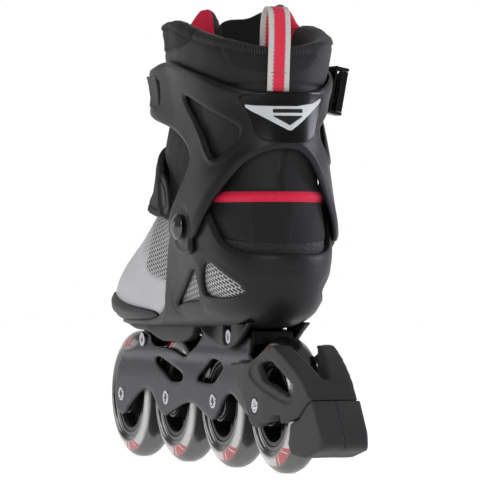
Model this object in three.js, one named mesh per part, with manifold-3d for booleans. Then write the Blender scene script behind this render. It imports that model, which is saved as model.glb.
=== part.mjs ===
// Inline skate for the right foot, in millimetres, +Z up.
// The toe points to -Y, the heel brake to +Y, and the inner side of the foot is +X.
// While it is built, the origin is on the floor under the middle of the wheelbase.
import * as THREE from 'three';
import { mergeVertices } from 'three/addons/utils/BufferGeometryUtils.js';
import Module from 'manifold-3d';

const wasm = await Module();
wasm.setup();

// ---------------------------------------------------------------- driving dimensions
const GAP = 0.35; // clearance between touching pieces
const FAR = 400; // reach of a cutting body past the skate

const WHEEL = { radius: 45, halfWidth: 12, pitch: 92, count: 4, hubRadius: 27, crown: 2, sides: 22 };
const BEARING = { outer: 11, inner: 4, width: 7, innerFace: 5.2 };
const AXLE = { radius: 4, headRadius: 5, headHeight: 2.2 };
const FRAME = { outer: 17, inner: 14, deckTop: 93.4, wheelClearance: 1.8, bossRadius: 6.2 };
const SCREW = { radius: 2.6, headRadius: 5, headHeight: 1.8 };
const BRAKE = { halfGap: 17.6, wheelClearance: 2.6, screwY: 204 };
const PIVOT = { y: 77, z: 162, radius: 4, headRadius: 9 };

// Offsets from the last surface, which is the outside of the soft boot.
const LAYER = {
  insole: -5,
  softInside: -4.5,
  collarInside: -9,
  tongue: [-16, -9.6],
  collarOutside: 2,
  shaftOutside: 4.8,
  bumper: [0.5, 3.6],
  shell: [0.6, 5],
  cuff: [5.9, 9],
  strap: [5, 8],
  panel: [9.4, 10.3],
  badge: [10.7, 11.4],
  ladder: [9.5, 11.3],
};

const wheelY = (index) => (index - (WHEEL.count - 1) / 2) * WHEEL.pitch;
const WHEEL_PLACES = Array.from({ length: WHEEL.count }, (_, index) => wheelY(index));
const REAR_AXLE_Y = WHEEL_PLACES.at(-1);

// Stations of the last, from the toe tip to the top of the shaft. Each is one section:
// back (or bottom) y and z, front (or top) y and z, half width, how far the widest place
// drops towards the back, and the squareness of the back and front corners (1 is round).
const STATIONS = [
  [-128, 112, -128, 112, 0, 1.0, 0.9, 1.0],
  [-124, 102, -123, 123, 18, 1.2, 0.8, 1.0],
  [-113, 99, -114, 134, 28, 1.4, 0.7, 1.0],
  [-92, 99, -98, 147, 36, 1.5, 0.6, 1.0],
  [-64, 99, -78, 158, 40.5, 1.6, 0.6, 1.0],
  [-32, 99, -58, 172, 40.5, 1.6, 0.6, 0.95],
  [0, 99, -42, 186, 37.5, 1.5, 0.65, 0.9],
  [40, 99, -28, 200, 36.5, 1.4, 0.7, 0.85],
  [80, 99, -18, 211, 38.5, 1.2, 0.75, 0.8],
  [112, 100, -11, 220, 41, 1.1, 0.8, 0.78],
  [134, 106, -5, 229, 43, 1.0, 0.85, 0.75],
  [144, 122, -2, 237, 43, 1.0, 0.9, 0.75],
  [145, 145, 1, 245, 42, 1.0, 0.95, 0.75],
  [141, 170, 3, 253, 40.5, 1.0, 1.0, 0.75],
  [135, 195, 4, 261, 39.5, 1.0, 1.0, 0.75],
  [131, 220, 4, 269, 40, 1.0, 1.0, 0.72],
  [129, 243, 3, 279, 42.5, 1.0, 0.95, 0.72],
  [129, 262, 1, 289, 46.5, 1.0, 0.9, 0.72],
  [128, 279, -2, 300, 48.5, 1.0, 0.85, 0.72],
  [127, 298, -6, 322, 49.5, 1.0, 0.85, 0.72],
];
const TOE_RINGS = [0.3, 0.65, 1, 1.5];
const SECTION_STEPS = 20;

// ---------------------------------------------------------------- solids
/** Closed solid of a three.js geometry, with its faces turned out. */
function solidOf(geometry) {
  const bare = new THREE.BufferGeometry();
  bare.setAttribute('position', geometry.getAttribute('position'));
  bare.setIndex(geometry.getIndex());
  const merged = mergeVertices(bare, 1e-4);
  const points = merged.getAttribute('position').array;
  const index = merged.getIndex().array;
  const at = (i) => new THREE.Vector3().fromArray(points, 3 * i);
  const triangles = [];
  let volume = 0;
  for (let i = 0; i < index.length; i += 3) {
    const [a, b, c] = index.slice(i, i + 3);
    if (a === b || b === c || c === a) continue;
    triangles.push(a, b, c);
    volume += at(a).dot(at(b).cross(at(c)));
  }
  if (volume < 0) triangles.reverse();
  return new wasm.Manifold(new wasm.Mesh({
    numProp: 3,
    vertProperties: new Float32Array(points),
    triVerts: new Uint32Array(triangles),
  }));
}

/** Three.js geometry of a solid. */
function geometryOf(solid) {
  const mesh = solid.getMesh();
  const geometry = new THREE.BufferGeometry();
  geometry.setAttribute('position', new THREE.Float32BufferAttribute(mesh.vertProperties, 3));
  geometry.setIndex(new THREE.Uint32BufferAttribute(mesh.triVerts, 1));
  geometry.computeVertexNormals();
  return geometry;
}

const AXES = {
  x: new THREE.Matrix4().makeBasis(
    new THREE.Vector3(0, 1, 0), new THREE.Vector3(0, 0, 1), new THREE.Vector3(1, 0, 0)),
  y: new THREE.Matrix4().makeBasis(
    new THREE.Vector3(-1, 0, 0), new THREE.Vector3(0, 0, 1), new THREE.Vector3(0, 1, 0)),
  z: new THREE.Matrix4(),
};

/** Outline pulled along an axis. Points are (y, z) for x, (x, z) for y and (x, y) for z. */
function extrude(axis, outline, from, to, holes = []) {
  const flip = axis === 'y' ? -1 : 1;
  const corners = (list) => list.map(([a, b]) => new THREE.Vector2(flip * a, b));
  const shape = new THREE.Shape(corners(outline));
  shape.holes = holes.map((hole) => new THREE.Path(corners(hole)));
  const geometry = new THREE.ExtrudeGeometry(shape, { depth: to - from, bevelEnabled: false });
  geometry.translate(0, 0, from);
  return solidOf(geometry.applyMatrix4(AXES[axis]));
}

/** Points of a circle arc, in degrees, ends included. */
function arc(centreA, centreB, radius, fromDegrees, toDegrees, steps) {
  return Array.from({ length: steps + 1 }, (_, i) => {
    const angle = THREE.MathUtils.degToRad(fromDegrees + (toDegrees - fromDegrees) * (i / steps));
    return [centreA + radius * Math.cos(angle), centreB + radius * Math.sin(angle)];
  });
}

const circle = (a, b, radius, steps = 16) => arc(a, b, radius, 0, 360, steps).slice(0, -1);
const rectangle = (a0, b0, a1, b1) => [[a0, b0], [a1, b0], [a1, b1], [a0, b1]];
const rod = (axis, a, b, radius, from, to, steps) =>
  extrude(axis, circle(a, b, radius, steps), from, to);
const join = (...solids) => solids.reduce((sum, next) => sum.add(next));
const mirrored = (solid) => solid.mirror([1, 0, 0]);
const bothSides = (solid) => solid.add(mirrored(solid));

/** Body of revolution about the X axis. Profile points are (x, radius). */
function turned(profile, steps, y = 0, z = 0) {
  const points = profile.map(([x, radius]) => new THREE.Vector2(radius, x));
  const geometry = new THREE.LatheGeometry(points, steps).rotateZ(-Math.PI / 2);
  return solidOf(geometry.translate(0, y, z));
}

/** Strip of constant thickness along a line of points, as an outline. */
function ribbon(points, thickness) {
  const side = (sign) => points.map(([a, b], i) => {
    const [a0, b0] = points[Math.max(i - 1, 0)];
    const [a1, b1] = points[Math.min(i + 1, points.length - 1)];
    const length = Math.hypot(a1 - a0, b1 - b0);
    const reach = sign * thickness / 2 / length;
    return [a - (b1 - b0) * reach, b + (a1 - a0) * reach];
  });
  return [...side(1), ...side(-1).reverse()];
}

// ---------------------------------------------------------------- the last
/** Smooth value between stations, by a Catmull-Rom curve through them. */
function stationAt(u) {
  const last = STATIONS.length - 1;
  const index = THREE.MathUtils.clamp(Math.floor(u), 0, last - 1);
  const t = u - index;
  const row = (shift) => STATIONS[THREE.MathUtils.clamp(index + shift, 0, last)];
  return row(0).map((_, column) => {
    const [p0, p1, p2, p3] = [-1, 0, 1, 2].map((shift) => row(shift)[column]);
    const linear = (p2 - p0) * t;
    const square = (2 * p0 - 5 * p1 + 4 * p2 - p3) * t * t;
    const cube = (3 * p1 - p0 - 3 * p2 + p3) * t * t * t;
    return (2 * p1 + linear + square + cube) / 2;
  });
}

const power = (value, exponent) => Math.sign(value) * Math.abs(value) ** exponent;

/** Point of the last: u counts stations, v goes round from the back (0) to the front (pi). */
function lastPoint(u, v) {
  const [backY, backZ, frontY, frontZ, halfWidth, drop, backCorner, frontCorner] = stationAt(u);
  const corner = Math.cos(v) > 0 ? backCorner : frontCorner;
  const along = ((1 - power(Math.cos(v), corner)) / 2) ** drop;
  return new THREE.Vector3(
    halfWidth * power(Math.sin(v), corner),
    backY + (frontY - backY) * along,
    backZ + (frontZ - backZ) * along,
  );
}

/** Point at a distance outside the last. */
function offsetPoint(u, v, distance) {
  const step = 1e-3;
  const along = lastPoint(u + step, v).sub(lastPoint(u - step, v));
  const around = lastPoint(u, v + step).sub(lastPoint(u, v - step));
  const normal = along.cross(around).normalize();
  const centre = lastPoint(u, 0).add(lastPoint(u, Math.PI)).multiplyScalar(0.5);
  const point = lastPoint(u, v);
  if (normal.dot(point.clone().sub(centre)) < 0) normal.negate();
  return point.addScaledVector(normal, distance);
}

/** Closed body of the last grown by a distance, which may change from place to place. */
function grown(distance) {
  const reach = typeof distance === 'function' ? distance : () => distance;
  const stations = [...TOE_RINGS];
  for (let u = 2; u < STATIONS.length; u += 1) stations.push(u);
  const positions = [];
  const add = (point) => positions.push(point.x, point.y, point.z);
  const toe = lastPoint(0, 0);
  add(toe.clone().add(new THREE.Vector3(0, -reach(toe), 0)));
  const turn = (2 * Math.PI) / SECTION_STEPS;
  for (const u of stations) {
    for (let k = 0; k < SECTION_STEPS; k += 1) {
      add(offsetPoint(u, k * turn, reach(lastPoint(u, k * turn))));
    }
  }
  const top = STATIONS.length - 1;
  add(lastPoint(top, 0).add(lastPoint(top, Math.PI)).multiplyScalar(0.5));
  const ring = (i, k) => 1 + i * SECTION_STEPS + (k % SECTION_STEPS);
  const index = [];
  for (let k = 0; k < SECTION_STEPS; k += 1) {
    index.push(0, ring(0, k), ring(0, k + 1));
    for (let i = 0; i < stations.length - 1; i += 1) {
      index.push(ring(i, k), ring(i + 1, k), ring(i + 1, k + 1));
      index.push(ring(i, k), ring(i + 1, k + 1), ring(i, k + 1));
    }
    const end = stations.length - 1;
    index.push(ring(end, k), positions.length / 3 - 1, ring(end, k + 1));
  }
  const geometry = new THREE.BufferGeometry();
  geometry.setAttribute('position', new THREE.Float32BufferAttribute(positions, 3));
  geometry.setIndex(index);
  return solidOf(geometry);
}

/** Skin between two distances from the last, inside a region. */
const skin = ([inner, outer], region) =>
  grown(outer).intersect(region).subtract(grown(inner));

/** Region between two lines across the boot, each given by two (y, z) points. */
function between(lowLine, highLine) {
  const stretch = ([[y0, z0], [y1, z1]]) => {
    const slope = (z1 - z0) / (y1 - y0);
    return [-FAR, FAR].map((y) => [y, z0 + slope * (y - y0)]);
  };
  const low = lowLine ? stretch(lowLine) : [[-FAR, 0], [FAR, 0]];
  return extrude('x', [...low, ...stretch(highLine).reverse()], -FAR, FAR);
}

const raised = (line, amount) => line.map(([y, z]) => [y, z + amount]);

// ---------------------------------------------------------------- scene graph
const skate = new THREE.Group();

const FINISH = {
  urethane: { color: 0x3a3638, roughness: 0.25, metalness: 0 },
  core: { color: 0x101012, roughness: 0.5, metalness: 0 },
  steel: { color: 0xb8babd, roughness: 0.3, metalness: 1 },
  aluminium: { color: 0x3b3a3e, roughness: 0.35, metalness: 0.9 },
  plastic: { color: 0x2f2f31, roughness: 0.6, metalness: 0 },
  gloss: { color: 0x0a0a0b, roughness: 0.08, metalness: 0 },
  silver: { color: 0xc9cbcd, roughness: 0.25, metalness: 0.8 },
  rubber: { color: 0x3b3b3c, roughness: 0.8, metalness: 0 },
  knit: { color: 0xb4b5b9, roughness: 0.9, metalness: 0 },
  mesh: { color: 0x1b1b1d, roughness: 0.9, metalness: 0 },
  lining: { color: 0xd2163e, roughness: 0.9, metalness: 0 },
};

/** Adds one named piece. */
function piece(name, finish, solid, parent = skate) {
  const mesh = new THREE.Mesh(geometryOf(solid), new THREE.MeshStandardMaterial(FINISH[finish]));
  mesh.name = name;
  parent.add(mesh);
}

// ---------------------------------------------------------------- wheels
/** Tyre, hub, bearings, spacer and axle of one wheel. */
function addWheel(number, y, axleEnd) {
  const { radius, halfWidth, hubRadius, crown } = WHEEL;
  const group = new THREE.Group();
  group.position.set(0, y, radius);
  group.rotation.x = Math.PI / WHEEL.sides;
  skate.add(group);
  const half = [[crown, radius], [9, radius - 3.4], [halfWidth, radius - 9.5],
    [halfWidth, radius - 13], [10.2, hubRadius + GAP]];
  const tyre = [...half, ...half.map(([x, r]) => [-x, r]).reverse(), half[0]];
  piece(`wheel_${number}_tyre`, 'urethane', turned(tyre, WHEEL.sides), group);

  const rim = [[9.6, hubRadius], [9.6, 23.6], [3, 22.2], [3, 15], [halfWidth, 13.8],
    [halfWidth, BEARING.outer + GAP], [4.9, BEARING.outer + GAP], [4.9, 9]];
  const hubProfile = [...rim, ...rim.map(([x, r]) => [-x, r]).reverse(), rim[0]];
  const windows = Array.from({ length: 5 }, (_, i) =>
    rod('x', 18.6, 0, 2.9, -halfWidth, halfWidth, 5).rotate([72 * i, 0, 0]));
  piece(`wheel_${number}_hub`, 'core', turned(hubProfile, 15).subtract(join(...windows)), group);

  const face = BEARING.innerFace;
  const race = (x0) => turned([[x0, BEARING.inner + GAP], [x0 + BEARING.width, BEARING.inner + GAP],
    [x0 + BEARING.width, BEARING.outer], [x0, BEARING.outer], [x0, BEARING.inner + GAP]], 15);
  piece(`wheel_${number}_bearing_inner`, 'steel', race(face), group);
  piece(`wheel_${number}_bearing_outer`, 'steel', race(-face - BEARING.width), group);

  const spacerEnd = face - GAP;
  const spacer = [[-spacerEnd, 4.4], [spacerEnd, 4.4], [spacerEnd, 5.6], [-spacerEnd, 5.6],
    [-spacerEnd, 4.4]];
  piece(`wheel_${number}_spacer`, 'aluminium', turned(spacer, 8), group);

  const { radius: shaft, headRadius, headHeight } = AXLE;
  const axle = turned([[-axleEnd, 0], [-axleEnd, headRadius], [headHeight - axleEnd, headRadius],
    [headHeight - axleEnd, shaft], [axleEnd - headHeight, shaft], [axleEnd - headHeight, headRadius],
    [axleEnd, headRadius], [axleEnd, 0]], 10);
  const socket = rod('x', 0, 0, 2.5, axleEnd - 1.5, axleEnd + 1, 6);
  piece(`wheel_${number}_axle`, 'steel', axle.subtract(bothSides(socket)), group);
}

const BRACKET_AXLE_END = 23.2;
WHEEL_PLACES.forEach((y, index) => {
  const isRear = index === WHEEL.count - 1;
  addWheel(index + 1, y, isRear ? BRACKET_AXLE_END : FRAME.outer + 0.6);
});

/** Round space that the wheels need, as wide as asked. */
function wheelSpace(places, clearance, halfWidth) {
  return join(...places.map((y) =>
    rod('x', y, WHEEL.radius, WHEEL.radius + clearance, -halfWidth, halfWidth, 30)));
}

/** Bores for the axles, with a recess for each head. */
function axleBores(places, end) {
  const bore = (y) => rod('x', y, WHEEL.radius, AXLE.radius + GAP, -FAR, FAR, 10);
  const recess = (y) => bothSides(
    rod('x', y, WHEEL.radius, AXLE.headRadius + GAP, end - AXLE.headHeight - GAP, FAR, 10));
  return join(...places.flatMap((y) => [bore(y), recess(y)]));
}

// ---------------------------------------------------------------- frame
const FRONT_SCREW = { y: -91, z: 84.5 };
const REAR_SCREW = { y: 84, z: 89 };

function frameSolid() {
  const outline = [
    ...arc(-138, 45, 14.5, 150, 275, 6), [-122, 37.5], [-97, 49.4], [-83, 50.6], [-73, 46],
    [-60, 34.5], [-50, 31.6], [-40, 34.5], [-12, 42], [3.6, 42.7], [18, 39.5], [34, 33.5],
    [44, 31.8], [54, 36], [68, 49], [77, 51.3], [86, 49], [104, 39], [124, 33],
    ...arc(138, 45, 14.5, 265, 400, 6), [128, 66], [113, 73], [113, FRAME.deckTop],
    [24, FRAME.deckTop], [21, 87], [5, 79], [-10, 72.4], [-24, 77], [-45, 80], [-77, 81],
    [-80, 90], [-102, 90], [-105, 80], [-141, 74.5], [-149, 62],
  ];
  const wall = [[17, 25], [17, 60], [15.9, 71], [16.9, 74], [17.2, 77], [16.9, 80], [16.3, 82.5],
    [16.3, 95], [13.3, 95], [13.3, 73], [14, 62], [14, 25]];
  const walls = bothSides(extrude('y', wall, -FAR, FAR)).intersect(
    extrude('x', outline, -FAR, FAR));
  const rearDeck = extrude('x', rectangle(26, 84, 112.5, FRAME.deckTop), -15, 15);
  const frontDeck = extrude('x', rectangle(-104, 70, -80, 78.4), -15, 15);
  const bosses = join(...WHEEL_PLACES.map((y) =>
    bothSides(rod('x', y, WHEEL.radius, FRAME.bossRadius, 12.6, FRAME.inner + 1, 10))));
  const decks = rearDeck.add(frontDeck).subtract(
    wheelSpace(WHEEL_PLACES, FRAME.wheelClearance, FRAME.inner));
  const windowFront = [[-73, 70], [-66, 72.8], [-58, 72], [-14, 62.5], [-12.5, 58.6], [-18, 56.5],
    [-34, 56], [-40, 58]];
  const windowRear = [[13, 60], [17.5, 57.5], [44, 56.6], [50, 58.5], [61, 66.5], [62, 69.6],
    [50, 73], [38, 73]];
  const windows = [windowFront, windowRear].map((window) => extrude('x', window, -FAR, FAR));
  const screwHole = ({ y, z }, depth) => bothSides(
    rod('x', y, z, SCREW.radius + GAP, depth, FAR, 12));
  const cuts = join(...windows, axleBores(WHEEL_PLACES.slice(0, -1), FRAME.outer + 0.6),
    rod('x', REAR_AXLE_Y, WHEEL.radius, AXLE.radius + GAP, -FAR, FAR, 16),
    screwHole(FRONT_SCREW, 12), screwHole(REAR_SCREW, 9),
    bothSides(rod('x', FRONT_SCREW.y, FRONT_SCREW.z, SCREW.headRadius + GAP, 16.35, FAR, 10)));
  return join(walls, decks, bosses).subtract(cuts);
}
piece('frame', 'aluminium', frameSolid());

/** Hex socket screw along +X, from its tip to the outer face of its head. */
function sideScrew({ y, z }, tip, face) {
  const { radius, headRadius, headHeight } = SCREW;
  const neck = face - headHeight;
  const body = turned([[tip, 0], [tip, radius], [neck, radius], [neck, headRadius],
    [face, headRadius], [face, 0]], 10, y, z);
  return body.subtract(rod('x', y, z, 2.2, face - 1.2, face + 1, 6));
}

const FRONT_FACE = 16.3 + GAP + SCREW.headHeight;
const REAR_FACE = 20.8;
const screws = {
  front: sideScrew(FRONT_SCREW, 8.6, FRONT_FACE),
  rear: sideScrew(REAR_SCREW, 10, REAR_FACE),
};
for (const [place, solid] of Object.entries(screws)) {
  piece(`${place}_screw_inner`, 'steel', solid);
  piece(`${place}_screw_outer`, 'steel', mirrored(solid));
}

// ---------------------------------------------------------------- brake
const PARTING = [[178, 34], [201, 38.7], [214, 47.4], [223, 51.2]];
const BRACKET_PLAN = [[19.6, 80], [22.6, 118], [23, 152], [20.6, 182], [17, 214], [15.5, 224]];
const PAD_PLAN = [[14.5, 170], [16.8, 186], [17, 212], [16.5, 236], [14, 242]];
const planSolid = (plan) => extrude('z',
  [...plan, ...plan.map(([x, y]) => [-x, y]).reverse()], -10, FAR);
const brakeWheel = wheelSpace([REAR_AXLE_Y], BRAKE.wheelClearance, 30);

function bracketSolid() {
  const side = [
    [86.5, 72], [86, 66.5], [98, 59.5], [114, 49], [123.5, 40], [127, 34], [134, 30.5], [143, 30.5],
    [150, 34], [164, 35.5], [169, 40], [177, 40], ...raised(PARTING, GAP), [219, 52], [215, 56],
    [207, 63.5], [196, 71], [184, 77.5], [175, 81.5], [168, 84.6], [161, 85], [152, 81.5],
    [142, 77.5], [126, 73],
  ];
  const body = extrude('x', side, -FAR, FAR).intersect(planSolid(BRACKET_PLAN));
  const { halfGap } = BRAKE;
  const slot = extrude('z', rectangle(-halfGap, 70, halfGap, 157), -10, FAR);
  const tyreSpace = wheelSpace([REAR_AXLE_Y], BRAKE.wheelClearance, 14.4);
  const notch = extrude('y', [[-2, 63], [2, 63], [11.5, 90], [-11.5, 90]], 157, FAR);
  const window = [[140, 70.5], [145, 73], [158, 74.5], [165, 73], [194, 59], [195, 56.5],
    [188, 52], [148, 62]];
  const windows = bothSides(extrude('x', window, 14, FAR));
  const screwHole = rod('z', 0, BRAKE.screwY, SCREW.radius + GAP, 0, 58, 12);
  const bores = axleBores([REAR_AXLE_Y], BRACKET_AXLE_END);
  return body.subtract(join(slot, tyreSpace, notch, windows, screwHole, bores));
}

function padSolid() {
  const outline = [...raised(PARTING, -GAP), [240.5, 24], [240, 21], [235, 18.6], [212, 13.6],
    [206, 13.2], [186, 14.8], [176, 24]];
  const body = extrude('x', outline, -FAR, FAR).intersect(planSolid(PAD_PLAN));
  const screwHead = rod('z', 0, BRAKE.screwY, SCREW.headRadius + GAP, 0, 29, 14);
  const screwHole = rod('z', 0, BRAKE.screwY, SCREW.radius + GAP, 0, FAR, 8);
  return body.subtract(join(brakeWheel, screwHead, screwHole));
}

piece('brake_bracket', 'rubber', bracketSolid());
piece('brake_pad', 'rubber', padSolid());
const padScrew = sideScrew({ y: 0, z: 0 }, -57, -29 + SCREW.headHeight + 1.2);
piece('brake_screw', 'steel', padScrew.rotate([0, 90, 0]).translate([0, BRAKE.screwY, 0]));

// ---------------------------------------------------------------- hard boot
const pivotBore = bothSides(rod('x', PIVOT.y, PIVOT.z, PIVOT.radius + GAP, 30, FAR, 16));

function shellSolid() {
  const side = [
    [-FAR, 80], [FAR, 80], [FAR, 144], [148, 144], [139, 145.5], [131, 147.5], [123, 151],
    [117, 156], [111, 164], [106, 171], [99, 176], [88, 179], [66, 179], [54, 174], [42, 164],
    [26, 152], [20, 133], [15, 118], [10, 109], [0, 104.6], [-14, 100.6], [-40, 98], [-FAR, 98],
  ];
  const region = extrude('x', side, -FAR, FAR);
  const ventFront = [[33, 110], [46, 113], [70, 113.5], [78, 116], [82, 131], [80, 135], [74, 134],
    [56, 124]];
  const ventRear = [[90, 116.5], [117, 115.5], [134, 119.5], [135, 122], [110, 139.5], [103, 140.5],
    [96, 137], [89, 121]];
  const vents = [ventFront, ventRear].map((vent) => bothSides(extrude('x', vent, 20, FAR)));
  const wall = skin(LAYER.shell, region);
  const soleDrop = 4;
  const soleSlab = extrude('x', rectangle(-FAR, 98, FAR, 101.6), -FAR, FAR);
  const sole = grown(3.4).intersect(soleSlab).translate([0, 0, -soleDrop]);
  const frontLug = extrude('x', rectangle(-102, 79, -80, 96), -12.9, 12.9);
  const rib = extrude('x', [[-66, 96], [-58, 88], [-42, 85], [-8, 85], [3, 88], [16, 96]], 13.6, 20);
  const cheek = extrude('x', [[36, 96], [43, 89], [56, 84.5], [74, 81.5], [88, 81.5], [104, 86],
    [124, 96]], 17.6, 21.4);
  const screwSeat = join(
    rod('x', REAR_SCREW.y, REAR_SCREW.z, SCREW.headRadius + GAP, REAR_FACE - 2.2, FAR, 16),
    rod('x', REAR_SCREW.y, REAR_SCREW.z, SCREW.radius + GAP, 16, FAR, 12));
  const lugHole = rod('x', FRONT_SCREW.y, FRONT_SCREW.z, SCREW.radius + GAP, 8, 14, 12);
  const cuts = join(pivotBore, bothSides(screwSeat), bothSides(lugHole), ...vents);
  return join(wall, sole, frontLug, bothSides(rib), bothSides(cheek)).subtract(cuts);
}
piece('shell', 'plastic', shellSolid());

/** How far the inner flap of the cuff stands off the boot at its front end. */
const flap = ({ x, y, z }) => (x > 0
  ? 10 * THREE.MathUtils.smoothstep(-y, -48, -17) * THREE.MathUtils.smoothstep(z, 222, 238) : 0);

function cuffSolid() {
  const side = [
    [2, 237.5], [10, 235.5], [25, 233], [47, 228], [64, 223], [79, 215], [84, 207], [80, 198],
    [71, 188], [62, 179], [52, 171], [46, 163], [48, 156], [54, 149.5], [62, 145], [72, 142.8],
    [82, 142.8], [92, 145.5], [100, 150], [105, 153], [FAR, 153], [FAR, 247.5], [145, 247.5],
    [135, 249.5], [121, 255], [104, 262], [81, 268.5], [66, 272], [45, 273], [26, 269.5],
    [8, 268.5], [2, 267],
  ];
  const arch = [
    [60, 130], [50, 145], [48, 155], [46, 167], [42, 179], [37, 188], [30, 199], [23, 206],
    [13, 211], [2, 213], [-10, 211], [-19, 203], [-26, 191], [-32, 178], [-38, 165], [-43, 153],
    [-50, 143], [-60, 130],
  ];
  const window = [[74, 248], [84, 247], [123, 228], [124.5, 222], [120, 214], [112, 207],
    [107, 209], [95, 228]];
  const [inner, outer] = LAYER.cuff;
  const wall = grown((point) => outer + flap(point)).intersect(extrude('x', side, -FAR, FAR))
    .subtract(grown((point) => inner + flap(point)));
  const strapNotch = extrude('x', rectangle(-FAR, 243, 32, 264.6), 0, FAR);
  const cuts = join(pivotBore, strapNotch, extrude('y', arch, 92, FAR),
    bothSides(extrude('x', window, 20, FAR)));
  return wall.subtract(cuts);
}
piece('cuff', 'plastic', cuffSolid());

const panel = [[33, 247], [24, 234], [19, 216.5], [-20, 216.5], [-25, 234], [-34, 248.5]];
const badge = [[30, 242], [19, 240.2], [-15, 240.4], [-31, 247], [-3, 225.3], [0.5, 225.3]];
piece('cuff_rear_panel', 'gloss', skin(LAYER.panel, extrude('y', panel, 60, FAR)));
piece('cuff_badge', 'silver', skin(LAYER.badge, extrude('y', badge, 60, FAR)));

const pivot = turned([[44.4, 0], [44.4, PIVOT.radius], [53.3, PIVOT.radius], [53.3, PIVOT.headRadius],
  [54.6, 8.7], [56.6, 6.6], [57.8, 3.4], [58.2, 0]], 18, PIVOT.y, PIVOT.z);
piece('cuff_pivot_inner', 'aluminium', pivot);
piece('cuff_pivot_outer', 'aluminium', mirrored(pivot));

const bumperSide = [[-FAR, 98.4], [-40, 98.4], [-14, 101], [-16, 104.5], [-60, 108], [-100, 115],
  [-126, 118], [-FAR, 118]];
piece('toe_bumper', 'rubber', skin(LAYER.bumper, extrude('x', bumperSide, -FAR, FAR)));

// ---------------------------------------------------------------- soft boot
const ANKLE_LINE = [[-70, 176], [150, 151]];
const SHAFT_LINE = [[-5, 228.5], [141, 214]];
const COLLAR_LINE = [[0, 262], [138, 246]];

piece('boot_upper', 'knit', skin([LAYER.softInside, 0], between(null, ANKLE_LINE)));
piece('ankle_gusset', 'mesh', skin([LAYER.softInside, 0],
  between(raised(ANKLE_LINE, GAP), SHAFT_LINE)));
piece('shaft_liner', 'mesh', skin([LAYER.softInside, LAYER.shaftOutside],
  between(raised(SHAFT_LINE, GAP), COLLAR_LINE)));

const collarTop = [[-40, 300], [0, 302.5], [24, 306], [46, 303], [76, 293], [106, 284.5],
  [130, 280.5], [160, 280.5]];
const collarSide = [[160, 243.8], [-40, 267], ...collarTop];
piece('collar', 'mesh', skin([LAYER.collarInside, LAYER.collarOutside],
  extrude('x', collarSide, -FAR, FAR)));

const tongueFront = [[-34, 240], [16, 240], [17, 300], [10, 308], [-4, 314], [-20, 318],
  [-31, 314], [-36, 300]];
piece('tongue', 'mesh', skin(LAYER.tongue, extrude('y', tongueFront, -30, 34)));

const insoleSlab = extrude('x', rectangle(-FAR, 90, FAR, 110), -FAR, FAR);
piece('insole', 'mesh', grown(LAYER.insole).intersect(insoleSlab));

const strapSide = [[44, 166], [44, 192], [-14, 218], [-40, 222], [-70, 190], [-60, 178]];
piece('instep_strap', 'mesh', skin(LAYER.strap, extrude('x', strapSide, -FAR, FAR)));

/** Lace as one tube that zigzags up the front of the foot. */
function laceSolid() {
  const steps = 32;
  const crossings = 8;
  const points = Array.from({ length: steps + 1 }, (_, i) => {
    const swing = 0.34 * Math.cos((Math.PI * crossings * i) / steps);
    return offsetPoint(2.9 + (2 * i) / steps, Math.PI - swing, 2.6);
  });
  const path = new THREE.CatmullRomCurve3(points);
  const section = new THREE.Shape(circle(0, 0, 1.5, 6).map(([a, b]) => new THREE.Vector2(a, b)));
  return solidOf(new THREE.ExtrudeGeometry(section, { steps: 40, extrudePath: path }));
}
piece('lace', 'knit', laceSolid());

const loopLine = [[134, 253], [133.4, 270], [132.8, 284], [131.8, 293],
  ...arc(124.3, 298.2, 7.4, 20, 160, 5), [116.4, 288], [115.6, 268]];
piece('pull_loop', 'lining', extrude('x', ribbon(loopLine, 1.5), -3.4, 11.6));

// ---------------------------------------------------------------- buckle
/** How far the ladder strap stands off the boot: under the buckle, and along the inner flap. */
const lift = (point) => (point.x < 0
  ? 4.2 * THREE.MathUtils.smoothstep(point.y, 8, 40) : flap(point));
function ladderSolid() {
  const [inner, outer] = LAYER.ladder;
  const band = rectangle(-60, 241, 70, 266);
  const keep = join(extrude('x', band, -FAR, 0.5),
    extrude('x', rectangle(-60, 243.5, 31, 264.1), 0, FAR));
  return grown((point) => outer + lift(point)).intersect(keep)
    .subtract(grown((point) => inner + lift(point)));
}
piece('ladder_strap', 'plastic', ladderSolid());

const BUCKLE = { x: -50.9, y: 70, z: 254.5, lean: 10.6, halfWidth: 14, pin: 1.5, pinHeight: 8.2 };
const buckle = new THREE.Group();
buckle.position.set(BUCKLE.x, BUCKLE.y, BUCKLE.z);
buckle.rotation.set(0, THREE.MathUtils.degToRad(-BUCKLE.lean), 0);
skate.add(buckle);

// In the buckle's own axes -X is outwards, Y is along the strap and Z is across it.
const LEVER_PIN = [-BUCKLE.pinHeight, 14];
const LATCH_PIN = [-9.2, -13];

function buckleBase() {
  const half = BUCKLE.halfWidth;
  const floor = extrude('z', rectangle(-2.2, -21, -1, 21), -half - 2, half + 2);
  const ear = (y0, y1, height) => {
    const outline = rectangle(-height, y0, -1, y1);
    return join(extrude('z', outline, half, half + 2), extrude('z', outline, -half - 2, -half));
  };
  const bores = join(...[LEVER_PIN, LATCH_PIN].map(([x, y]) =>
    rod('z', x, y, BUCKLE.pin + GAP, -FAR, FAR, 12)));
  return join(floor, ear(9.5, 19, 11), ear(-17, -9, 11.4)).subtract(bores);
}

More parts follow.
